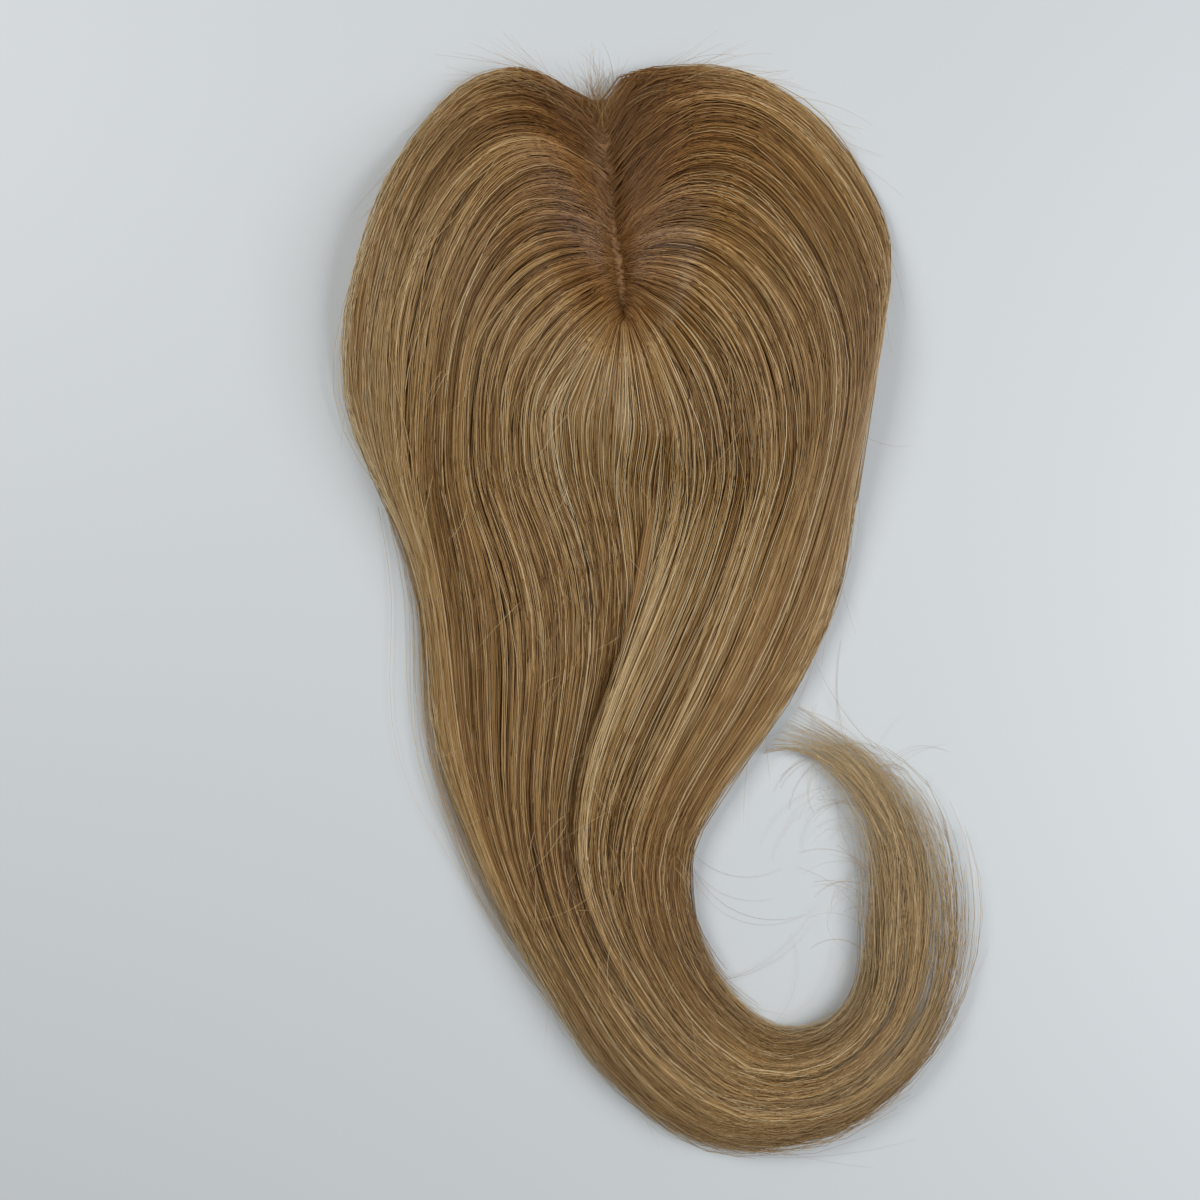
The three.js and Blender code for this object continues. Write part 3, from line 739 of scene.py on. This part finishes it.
def painted_light_and_shade(home, row, over):
    """Painted light on fan, fold, left edge and tail; painted shade under the fold, by the parting, at the
    waist.
    """
    in_fold = rise(-0.5, 2, row) * fade(5, 8, row)
    # Painted light on the fan and on the fold's lapping edge, painted shade on the hair under the fold.
    fan = 0.07 * bell(home, FAN_GUIDE, 2.5) * fade(-2, 1, row)
    if over:
        fold = 0.26 * bell(home, FOLD_GUIDE + 0.5, 2.2) * in_fold
    else:
        fold = -0.12 * bell(home, FOLD_GUIDE - 2, 3.2) * in_fold
    # Painted light on the left edge and lower left, painted shade at the right edge, by the parting and at
    # the waist.
    left_run = rise(-5, -2, row) * mix(1, 0.75, rise(1, 4, row)) * fade(8, 11, row)
    left_edge_light = 0.34 * fade(0, 2.2, home) * left_run
    right_edge_shade = -0.1 * rise(11.5, 14, home) * fade(-1, 2, row)
    parting_shade = -0.18 * bell(home, 4.5, 2.5) * bell(row, -6.2, 1.6)
    waist = -0.18 * bell(row, 6, 2) * rise(0, 5, home)
    lower_left_light = 0.2 * fade(2, 7, home) * rise(4.5, 7, row) * fade(7.4, 9.2, row)
    # Painted light on the tip and inner edge of the tail; hair on the outside of the tail is paler.
    tail_tip_light = 0.12 * rise(11.5, 15, row)
    tail_inner_light = 0.12 * rise(16.5, 18.5, home) * rise(8, 11, row)
    tail_outer = 0.06 * fade(5, 9, home) * rise(9, 12, row)
    by_crown = fan + fold + left_edge_light + right_edge_shade + parting_shade
    return by_crown + (waist + lower_left_light) + (tail_tip_light + tail_inner_light + tail_outer)


def strand_tones(random, hank, over):
    """Tone of every point: broad bands, locks, wisps, single strands, and painted light and shade by the lie
    of the hair.
    """
    home = hank.home
    lock_count = len(hank.lock_middle)
    tone = MIDDLE_TONE + band_tones(home) + random.normal(0, LOCK_TONE, lock_count)[hank.lock]
    own = mix(*OWN_TONES, bell(home, *OWN_TONE_BELL))
    tone = tone + random.normal(0, WISP_TONE, lock_count * WISPS_PER_LOCK)[hank.wisp]
    tone = tone + random.normal(0, 1, hank.count) * own
    # Painted shade on deeper strands and painted light on edge strands; loose strands are paler.
    tone = tone - hank.depth[:, 0] * DEPTH_SHADE + hank.loose[:, 0] * LOOSE_TONE + hank.edge * EDGE_LIGHT
    tone = tone[:, None] + painted_light_and_shade(home[:, None], hank.row, over)
    # Painted light on the middle of each tuft and painted shade at its borders.
    tone = tone + TUFT_LIGHT_AND_SHADE * (1 - 2 * hank.from_middle**2)[:, None] * hank.tuft
    # Painted light along the outline of the crown.
    rim = fade(0, RIM_GUIDES, np.minimum(home, LAST_GUIDE - home))[:, None]
    tone = tone + RIM_LIGHT * rim * bell(hank.station, *RIM_BELL)
    in_notch = rise(*NOTCH_SHADE_FRONT, hank.front)[:, None]
    tone = tone - mix(*NOTCH_SHADES, over) * in_notch * fade(*NOTCH_SHADE_STATIONS, hank.station)
    return np.clip(tone, *TONE_LIMITS)


STRAND_RADIUS = 0.12
RADIUS_RANGE = (0.75, 1.5)
TIP_RADIUS_SHARE = 0.3
TAPER_SHARE = 0.3
LONG_END = 1.0
SHORT_END = 0.84


def comb(first, last, count, seed, long, over):
    """Strands between two guides: points, radii, tones and where the tone map ends on them."""
    random = np.random.default_rng(seed)
    hank = gather_hank(random, first, last, count)
    run_along(random, hank, long)
    drift(random, hank)
    if over:
        lap_over(random, hank)
    else:
        tuck_under(hank)
    split_tail(hank)
    hank.points = flow(hank.guide, hank.station, over)
    spread_tips(random, hank, over)
    lift_layers(random, hank)
    lean_roots(random, hank, over)
    keep_above(hank)
    taper = mix(TIP_RADIUS_SHARE, 1, np.sqrt(np.clip((1 - hank.share) / TAPER_SHARE, 0, 1)))
    radius = STRAND_RADIUS * taper * random.uniform(*RADIUS_RANGE, (count, 1))
    tone = strand_tones(random, hank, over)
    return hank.points, radius, tone, LONG_END if long else SHORT_END


# Stray hairs. Headings and turns are in degrees, anticlockwise from the right.

STRAY_MARGIN = 12.0
STRAY_TIP_SHARE = 0.4
STRAY_RADIUS_RANGE = (0.8, 1.2)
STRAY_TONE_SPREAD = 0.1
STRAY_TONE_LIMITS = (0.05, 0.98)
STRAY_TABLE_CLEAR = 0.25
HEADING_STEP = 0.1


def arcs(start, heading, length, turn, climb, count):
    """Points of stray hairs that set off from start and turn evenly along their length."""
    share = np.linspace(0, 1, count)
    angle = np.radians(heading[:, None] + turn[:, None] * share)
    step = length[:, None] / (count - 1)
    x = start[:, :1] + np.cumsum(np.cos(angle) * step, axis=1) - np.cos(angle[:, :1]) * step
    y = start[:, 1:2] + np.cumsum(np.sin(angle) * step, axis=1) - np.sin(angle[:, :1]) * step
    z = start[:, 2:] + climb[:, None] * np.sin(math.pi / 2 * share)
    points = np.stack([x, y, z], 2)
    ground = np.maximum(cap_height(points) + BASE_CLEAR, STRAY_TABLE_CLEAR)
    points[..., 2] = np.maximum(z, ground)
    return points


def flow_heading(guide, station):
    """Which way the hair runs at places between guides and stations along them."""
    ahead = flow(guide, station + HEADING_STEP, 0) - flow(guide, station, 0)
    return np.degrees(np.arctan2(ahead[:, 1], ahead[:, 0]))


def stray_group(random, points, radius, tone):
    """Radii and tones for stray hairs, of which those that reach too far from the part are left out."""
    low = np.array(cad_low) / MM - CROWN_PLACE - STRAY_MARGIN
    high = np.array(cad_high) / MM - CROWN_PLACE + STRAY_MARGIN
    points = points[((points > low) & (points < high)).all(axis=(1, 2))]
    count, length = points.shape[:2]
    taper = np.linspace(1, STRAY_TIP_SHARE, length)[None]
    tones = np.clip(random.normal(tone, STRAY_TONE_SPREAD, count), *STRAY_TONE_LIMITS)
    return points, radius * taper * random.uniform(*STRAY_RADIUS_RANGE, (count, 1)), tones[:, None], LONG_END


def notch_hairs(random, count):
    """Baby hairs that stand out of the notch at the front of the parting."""
    start = np.stack([random.normal(-5.5, 3.5, count), random.normal(51, 4, count), np.zeros(count)], 1)
    start[:, 2] = cap_height(start) + 0.8
    heading = random.normal(92, 24, count)
    length = random.uniform(8, 19, count)
    turn = random.normal(0, 35, count)
    climb = random.uniform(-12, 4, count)
    return arcs(start, heading, length, turn, climb, 10)


def edge_wisps(random, count):
    """Thin wisps that stand off the left edge of the fall, and off the outside of the tail."""
    station = np.linspace(8, 18, 22)[None] + random.uniform(-1.5, 1.5, (count, 1))
    points = flow(np.zeros(station.shape), station, 0)
    ahead = np.gradient(points, axis=1)
    outward = np.stack([ahead[..., 1], -ahead[..., 0]], -1)
    outward /= np.linalg.norm(outward, axis=2, keepdims=True)
    swell = bell(station, random.uniform(11, 14, (count, 1)), 2.5) * random.gamma(2, 1.9, (count, 1))
    swell = swell + waves(random, station, np.arange(count), 0.4, (4.0, 7.0))
    points[..., :2] += outward * swell[..., None]
    points[..., 2] = np.maximum(points[..., 2] - random.uniform(0.5, 3.4, (count, 1)), TABLE_CLEAR)
    return points


def outline_hairs(random, count, first, last):
    """Flyaway hairs that leave the outline of the crown and the fall between two stations."""
    on_left = random.uniform(0, 1, count) < 0.5
    guide = np.where(on_left, random.uniform(0, 0.6, count), LAST_GUIDE - random.uniform(0, 0.6, count))
    station = random.uniform(first, last, count)
    start = flow(guide, station, 0)
    start[:, 2] = np.maximum(start[:, 2] - 1, 1)
    swing = np.where(on_left, -1, 1)
    heading = flow_heading(guide, station) + swing * np.minimum(random.exponential(9, count), 32)
    length = random.uniform(8, 30, count)
    turn = -swing * random.uniform(-10, 60, count)
    climb = random.normal(0, 2, count)
    return arcs(start, heading, length, turn, climb, 12)


def tail_hairs(random, count):
    """Loose ends that leave the tail as it curls, some turning in, some out."""
    guide = random.uniform(0, LAST_GUIDE, count)
    station = random.uniform(19, 23, count)
    start = flow(guide, station, 0)
    heading = flow_heading(guide, station) + random.normal(0, 14, count)
    start[:, 2] *= random.uniform(0.2, 1, count)
    length = random.uniform(14, 44, count)
    turn = random.normal(75, 60, count)
    return arcs(start, heading, length, turn, np.full(count, -2.0), 12)


def crossing_hairs(random, count):
    """Short loose hairs that lie across the combed ones."""
    guide = random.uniform(1, LAST_GUIDE - 1, count)
    station = random.uniform(4, 16, count)
    start = flow(guide, station, (guide > FOLD_GUIDE) * 1.0)
    start[:, 2] += 1.2
    heading = flow_heading(guide, station) + random.normal(0, 35, count)
    length = random.uniform(8, 22, count)
    turn = random.normal(0, 25, count)
    points = arcs(start, heading, length, turn, np.zeros(count), 10)
    on_crown = points[..., 1] > -60
    top = np.maximum(points[..., 2], crown_height(points) + 0.6)
    points[..., 2] = np.where(on_crown, top, points[..., 2])
    return points


# Loose hairs on the table: where each begins, its heading, its length and its turn.
TABLE_COLUMNS = ("x", "y", "heading", "length", "turn")
TABLE_ROWS = (
    (22, -176, -78, 40, 80),
    (24, -186, -66, 46, 95),
    (34, -222, 10, 34, 60),
    (48, -236, 20, 40, 70),
    (82, -190, 120, 42, -60),
    (82, -178, 112, 48, -95),
    (84, -172, 125, 44, -150),
    (80, -166, 140, 38, 130),
    (78, -160, 165, 40, 110),
    (76, -156, 175, 36, -120),
    (-20, -232, -50, 118, 62),
    (28, -276, 0, 74, 26),
)


def table_hairs(random, copies):
    """The loose hairs on the table, each with copies that differ a little."""
    rows = columns(TABLE_COLUMNS, np.repeat(TABLE_ROWS, copies, axis=0))
    count = len(rows["x"])
    start = np.stack([rows["x"], rows["y"], np.full(count, 1.5)], 1)
    start[:, :2] += random.normal(0, 1.5, (count, 2))
    length = rows["length"] * random.uniform(0.75, 1.1, count)
    turn = rows["turn"] * random.uniform(0.7, 1.2, count)
    heading = rows["heading"] + random.normal(0, 8, count)
    return arcs(start, heading, length, turn, np.full(count, -1.0), 16)


# Materials


def linear(colour):
    """Linear colour of an sRGB hex value."""
    parts = [int(colour[place : place + 2], 16) / 255 for place in (1, 3, 5)]
    return [part / 12.92 if part <= 0.04045 else ((part + 0.055) / 1.055) ** 2.4 for part in parts] + [1.0]


def add_node(tree, kind, inputs=None, stops=(), **settings):
    """A node with its settings and colour stops; each input is a value or a socket to link from."""
    node = tree.nodes.new(kind)
    for name, value in settings.items():
        setattr(node, name, value)
    for name, value in (inputs or {}).items():
        if isinstance(value, bpy.types.NodeSocket):
            tree.links.new(value, node.inputs[name])
        else:
            node.inputs[name].default_value = value
    for _ in stops[2:]:
        node.color_ramp.elements.new(0.5)
    for place, (position, colour) in enumerate(stops):
        node.color_ramp.elements[place].position = position
        node.color_ramp.elements[place].color = linear(colour)
    return node


def new_material(name, roughness, metallic=0.0):
    material = bpy.data.materials.new(name)
    material.use_nodes = True
    tree = material.node_tree
    tree.nodes.clear()
    shader = add_node(tree, "ShaderNodeBsdfPrincipled", {"Roughness": roughness, "Metallic": metallic})
    add_node(tree, "ShaderNodeOutputMaterial", {"Surface": shader.outputs["BSDF"]})
    return material, tree, shader


HAIR_TONES = [(0.0, "#44290c"), (0.28, "#7a5629"), (0.52, "#a47f4a"), (0.78, "#c8aa79"), (1.0, "#e6d5b2")]
ROOT_SHADE = [(0.0, "#d0b696"), (0.05, "#dcc8ae"), (0.12, "#f6eee2"), (0.22, "#ffffff")]
ROOT_COLOUR = "#8e673c"
ROOT_SHARE = [(0.0, "#e0e0e0"), (0.05, "#000000")]
TIP_COLOUR = "#d8c5a0"
TIP_SHARE = [(0.72, "#000000"), (0.9, "#909090"), (1.0, "#d0d0d0")]


def hair_material():
    """Dark blond hair: a tone for each strand, warmer at the root and paler at the tip, with a soft sheen."""
    material, tree, shader = new_material("dark_blond_hair", 0.4)
    place = add_node(tree, "ShaderNodeUVMap", uv_map=BAKE_MAP)
    split = add_node(tree, "ShaderNodeSeparateXYZ", {"Vector": place.outputs["UV"]})
    along = {"Fac": split.outputs["Y"]}
    tones = add_node(tree, "ShaderNodeValToRGB", {"Fac": split.outputs["X"]}, HAIR_TONES)
    shade = add_node(tree, "ShaderNodeValToRGB", along, ROOT_SHADE)
    inputs = {"Fac": 1.0, "Color1": tones.outputs["Color"], "Color2": shade.outputs["Color"]}
    colour = add_node(tree, "ShaderNodeMixRGB", inputs, blend_type="MULTIPLY")
    for end_colour, stops in ((ROOT_COLOUR, ROOT_SHARE), (TIP_COLOUR, TIP_SHARE)):
        share = add_node(tree, "ShaderNodeValToRGB", along, stops).outputs["Color"]
        inputs = {"Fac": share, "Color1": colour.outputs["Color"], "Color2": linear(end_colour)}
        colour = add_node(tree, "ShaderNodeMixRGB", inputs)
    tree.links.new(colour.outputs["Color"], shader.inputs["Base Color"])
    shader.inputs["IOR"].default_value = 1.55
    shader.inputs["Specular IOR Level"].default_value = 0.45
    return material


def mat_material():
    """Hair seen between the strands: the same blond in shade, streaked along its length."""
    material, tree, shader = new_material("hair_in_shade", 0.6)
    place = add_node(tree, "ShaderNodeUVMap", uv_map=BAKE_MAP)
    # A mat is about 56 by 330 mm. Its streaks are 0.35 mm wide, as the strands are, and 110 mm long.
    inputs = {"Vector": place.outputs["UV"], "Scale": (56 / 0.35, 330 / 110, 1.0)}
    stretch = add_node(tree, "ShaderNodeMapping", inputs)
    inputs = {"Vector": stretch.outputs["Vector"], "Scale": 1.0, "Detail": 2.0}
    streaks = add_node(tree, "ShaderNodeTexNoise", inputs)
    stops = [(0.35, "#644520"), (0.65, "#b08a56")]
    tones = add_node(tree, "ShaderNodeValToRGB", {"Fac": streaks.outputs["Fac"]}, stops)
    tree.links.new(tones.outputs["Color"], shader.inputs["Base Color"])
    return material


def table_material():
    """Painted board: pale, even and dull."""
    material, _, shader = new_material("pale_table", 0.6)
    shader.inputs["Base Color"].default_value = linear("#d0d8e1")
    return material


def silk_material():
    """Woven silk in the brown of a scalp: a weave that dulls the light."""
    material, tree, shader = new_material("woven_silk", 0.75)
    place = add_node(tree, "ShaderNodeTexCoord")
    # Silk threads are 0.15 mm, which a bake would only blur, so the weave is coarser: bands 3.8 mm apart.
    # A wave turns by 20 radians in a unit of its scale, here by one radian in 0.6 mm.
    radian = 0.6 * MM
    inputs = {"Vector": place.outputs["Object"], "Scale": 1 / radian / 20, "Distortion": 0.3}
    warp = add_node(tree, "ShaderNodeTexWave", inputs, bands_direction="X")
    weft = add_node(tree, "ShaderNodeTexWave", inputs, bands_direction="Y")
    inputs = {0: warp.outputs["Fac"], 1: weft.outputs["Fac"]}
    weave = add_node(tree, "ShaderNodeMath", inputs, operation="MULTIPLY").outputs["Value"]
    stops = [(0.0, "#7f5b3a"), (0.6, "#906a44")]
    tones = add_node(tree, "ShaderNodeValToRGB", {"Fac": weave}, stops)
    tree.links.new(tones.outputs["Color"], shader.inputs["Base Color"])
    bump = add_node(tree, "ShaderNodeBump", {"Height": weave, "Strength": 0.3, "Distance": 0.05 * MM})
    tree.links.new(bump.outputs["Normal"], shader.inputs["Normal"])
    return material


def lacquer_material():
    """Brown lacquer on spring steel: an even dark coat with faint clouding and a clear shine."""
    material, tree, shader = new_material("lacquered_steel", 0.35, 0.6)
    place = add_node(tree, "ShaderNodeTexCoord")
    # The clouds are about 6 mm.
    inputs = {"Vector": place.outputs["Object"], "Scale": 1 / (6 * MM), "Detail": 3.0}
    clouds = add_node(tree, "ShaderNodeTexNoise", inputs)
    stops = [(0.3, "#43342a"), (0.7, "#574536")]
    tones = add_node(tree, "ShaderNodeValToRGB", {"Fac": clouds.outputs["Fac"]}, stops)
    tree.links.new(tones.outputs["Color"], shader.inputs["Base Color"])
    return material


# Mats of hair under the strands

MAT_START = 0.9
MAT_END_ROW = 9.0
MAT_END_ROWS = 2
MAT_END_SINK = 3
MAT_SINK = 1.0
MAT_ROOT_SINK = 5.0
MAT_SINK_STATIONS = (0.8, 3)
MAT_LEAST_SINK_SHARE = 0.4
MAT_CLEAR = 0.4
MAT_LEAST_HEIGHT = 0.4
MAT_INSET = 0.12
MAT_FOOT_INSET = 0.5
MAT_FRONT_INSET = 0.8
MAT_FRONT_END = 2.5
MAT_ALONG = 70
MAT_PER_GUIDE = 4
PAD_THICKNESS = 0.1


def hair_mat(name, first, last, over):
    """A closed pad of hair from the table or the base up to just under the strands."""
    across = round((last - first) * MAT_PER_GUIDE)
    bpy.ops.object.select_all(action="DESELECT")
    bpy.ops.mesh.primitive_grid_add(x_subdivisions=across, y_subdivisions=MAT_ALONG, size=1, calc_uvs=False)
    piece = bpy.context.active_object
    piece.name = name
    pad = piece.modifiers.new("pad", "SOLIDIFY")
    pad.thickness = PAD_THICKNESS
    pad.offset = -1
    bpy.ops.object.modifier_apply(modifier=pad.name)
    mesh = piece.data
    flat = np.empty(len(mesh.vertices) * 3, dtype=np.float32)
    mesh.vertices.foreach_get("co", flat)
    flat = flat.reshape(-1, 3)
    share_across = flat[:, 0] + 0.5
    share_along = 0.5 - flat[:, 1]
    is_top = flat[:, 2] > -PAD_THICKNESS / 2
    station = mix(MAT_START, FIRST_FALL + MAT_END_ROW, share_along)
    inset = np.where(is_top, MAT_INSET, MAT_FOOT_INSET)
    inset = mix(MAT_FRONT_INSET, inset, rise(MAT_START, MAT_FRONT_END, station))
    guide = mix(np.maximum(first, inset), np.minimum(last, LAST_GUIDE - inset), share_across)
    points = flow(guide, station, over)
    sink = mix(MAT_ROOT_SINK, MAT_SINK, rise(*MAT_SINK_STATIONS, station))
    sink = sink * np.clip(points[:, 2] / FULL_HEIGHT, MAT_LEAST_SINK_SHARE, 1)
    sink = sink + MAT_END_SINK * rise(MAT_END_ROW - MAT_END_ROWS, MAT_END_ROW, station - FIRST_FALL)
    base = cap_height(points) + MAT_CLEAR
    points[:, 2] = np.where(is_top, np.maximum(points[:, 2] - sink, base + MAT_LEAST_HEIGHT), base)
    mesh.vertices.foreach_set("co", ((points + CROWN_PLACE) * MM).astype(np.float32).ravel())
    loop_vertex = np.empty(len(mesh.loops), dtype=np.int32)
    mesh.loops.foreach_get("vertex_index", loop_vertex)
    uv_map = mesh.uv_layers.new(name=BAKE_MAP)
    uv = np.stack([share_across, share_along], 1)[loop_vertex]
    uv_map.data.foreach_set("uv", uv.astype(np.float32).ravel())
    mesh.update()
    bpy.ops.object.shade_smooth()
    return piece


hair = hair_material()
shaded_hair = mat_material()


def keep_hair(piece, material):
    piece.data.materials.clear()
    piece.data.materials.append(material)
    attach(piece, "root")


# Name, first and last guide, strands that end in the tail, strands that reach its tip, whether it laps over.
COMBED = (
    ("hair_left_front", 0.0, 2.0, 640, 70, 0),
    ("hair_left_side", 2.0, 6.0, 740, 110, 0),
    ("hair_back_fan", 6.0, 10.0, 720, 130, 0),
    ("hair_right_side", 10.0, 15.0, 480, 300, 1),
    ("hair_right_front", 15.0, 19.0, 530, 285, 1),
)
for seed, (name, first, last, short_count, long_count, over) in enumerate(COMBED):
    groups = [
        comb(first, last, short_count, 10 * seed + 1, False, over),
        comb(first, last, long_count, 10 * seed + 2, True, over),
    ]
    keep_hair(strand_mesh(name, groups), hair)

# Name, first and last guide, whether it laps over, and the solid whose form it keeps.
MATS = (
    ("hair_left_mat", 0.0, 6.0, 0, "hair_left"),
    ("hair_back_mat", 6.0, 10.0, 0, "hair_back"),
    ("hair_right_mat", 10.0, 19.0, 1, "hair_right"),
)
for name, first, last, over, node_name in MATS:
    piece = hair_mat(name, first, last, over)
    keep_hair(piece, shaded_hair)
    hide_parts(node_name)

# Groups of stray hairs: what makes them, their count and any stations, their radius and their tone.
STRAYS = (
    (notch_hairs, (170,), 0.06, 0.5),
    (edge_wisps, (50,), 0.06, 0.75),
    (outline_hairs, (240, 0.8, 20), 0.055, 0.75),
    (outline_hairs, (150, 0.4, 5), 0.06, 0.75),
    (tail_hairs, (130,), 0.06, 0.75),
    (crossing_hairs, (130,), 0.07, 0.85),
    (table_hairs, (2,), 0.04, 0.6),
)
STRAY_SEED = 77
stray_random = np.random.default_rng(STRAY_SEED)
stray_groups = []
for make, counts, radius, tone in STRAYS:
    stray_groups.append(stray_group(stray_random, make(stray_random, *counts), radius, tone))
keep_hair(strand_mesh("stray_hairs", stray_groups), hair)

# Silk base and snap clips

MERGE_DISTANCE = 0.02
SMOOTH_ANGLE = 40


def smooth_copy(name, node_name, material):
    """A copy of a CAD node with its corners merged and its shading smooth."""
    bpy.ops.object.select_all(action="DESELECT")
    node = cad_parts[node_name]
    piece = node.copy()
    piece.data = node.data.copy()
    piece.name = name
    bpy.context.collection.objects.link(piece)
    piece.parent = None
    piece.matrix_world = node.matrix_world.copy()
    bpy.context.view_layer.objects.active = piece
    piece.select_set(True)
    bpy.ops.object.transform_apply(location=True, rotation=True, scale=True)
    bpy.ops.object.mode_set(mode="EDIT")
    bpy.ops.mesh.select_all(action="SELECT")
    bpy.ops.mesh.remove_doubles(threshold=MERGE_DISTANCE * MM)
    bpy.ops.object.mode_set(mode="OBJECT")
    bpy.ops.object.shade_smooth_by_angle(angle=math.radians(SMOOTH_ANGLE))
    piece.data.materials.clear()
    piece.data.materials.append(material)
    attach(piece, "root")
    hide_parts(node_name)


silk = silk_material()
lacquer = lacquer_material()
smooth_copy("silk_base", "base_cap", silk)
for place in ("front", "back", "left", "right"):
    smooth_copy("snap_clip_" + place, "clip_" + place, lacquer)

# Floor, light and camera. The floor's size and the places and sizes of lights are in metres.

VIEW_CENTRE = np.array([-5.0, -100.0, 0.0])
VIEW_WIDTH = 384.0
VIEW_ANGLE = 46.0
SENSOR_WIDTH = 36.0
FLOOR_SIZE = 4

bpy.ops.object.select_all(action="DESELECT")
bpy.ops.mesh.primitive_plane_add(size=FLOOR_SIZE)
floor = bpy.context.active_object
floor.name = "floor"
floor.data.materials.append(table_material())

half_view = math.tan(math.radians(VIEW_ANGLE / 2))
centre = (VIEW_CENTRE + CROWN_PLACE) * MM
camera_data = bpy.data.cameras.new("camera")
camera_data.sensor_width = SENSOR_WIDTH
camera_data.lens = SENSOR_WIDTH / 2 / half_view
camera = new_object("camera", camera_data)
camera.location = (centre[0], centre[1], VIEW_WIDTH / 2 / half_view * MM)
bpy.context.scene.camera = camera


def soft_light(name, place, target, size, power, colour):
    """A square light that faces its target."""
    data = bpy.data.lights.new(name, "AREA")
    data.energy = power
    data.size = size
    data.color = linear(colour)[:3]
    lamp = new_object(name, data)
    lamp.location = place
    away = np.array(place) - np.array(target)
    tilt = math.atan2(math.hypot(away[0], away[1]), away[2])
    lamp.rotation_euler = (tilt, 0, math.atan2(away[0], -away[1]))


soft_light("window", (-0.65, 0.4, 0.75), (0.0, 0.0, 0.0), 0.35, 5.6, "#fffaf0")
soft_light("wall", (0.75, -0.05, 0.7), (0.1, 0.0, 0.0), 0.6, 7.6, "#fdfbf6")
world = bpy.data.worlds.new("room")
world.use_nodes = True
background = world.node_tree.nodes["Background"]
background.inputs["Color"].default_value = linear("#f0efec")
background.inputs["Strength"].default_value = 0.2
bpy.context.scene.world = world
bpy.context.scene.view_settings.view_transform = "Standard"
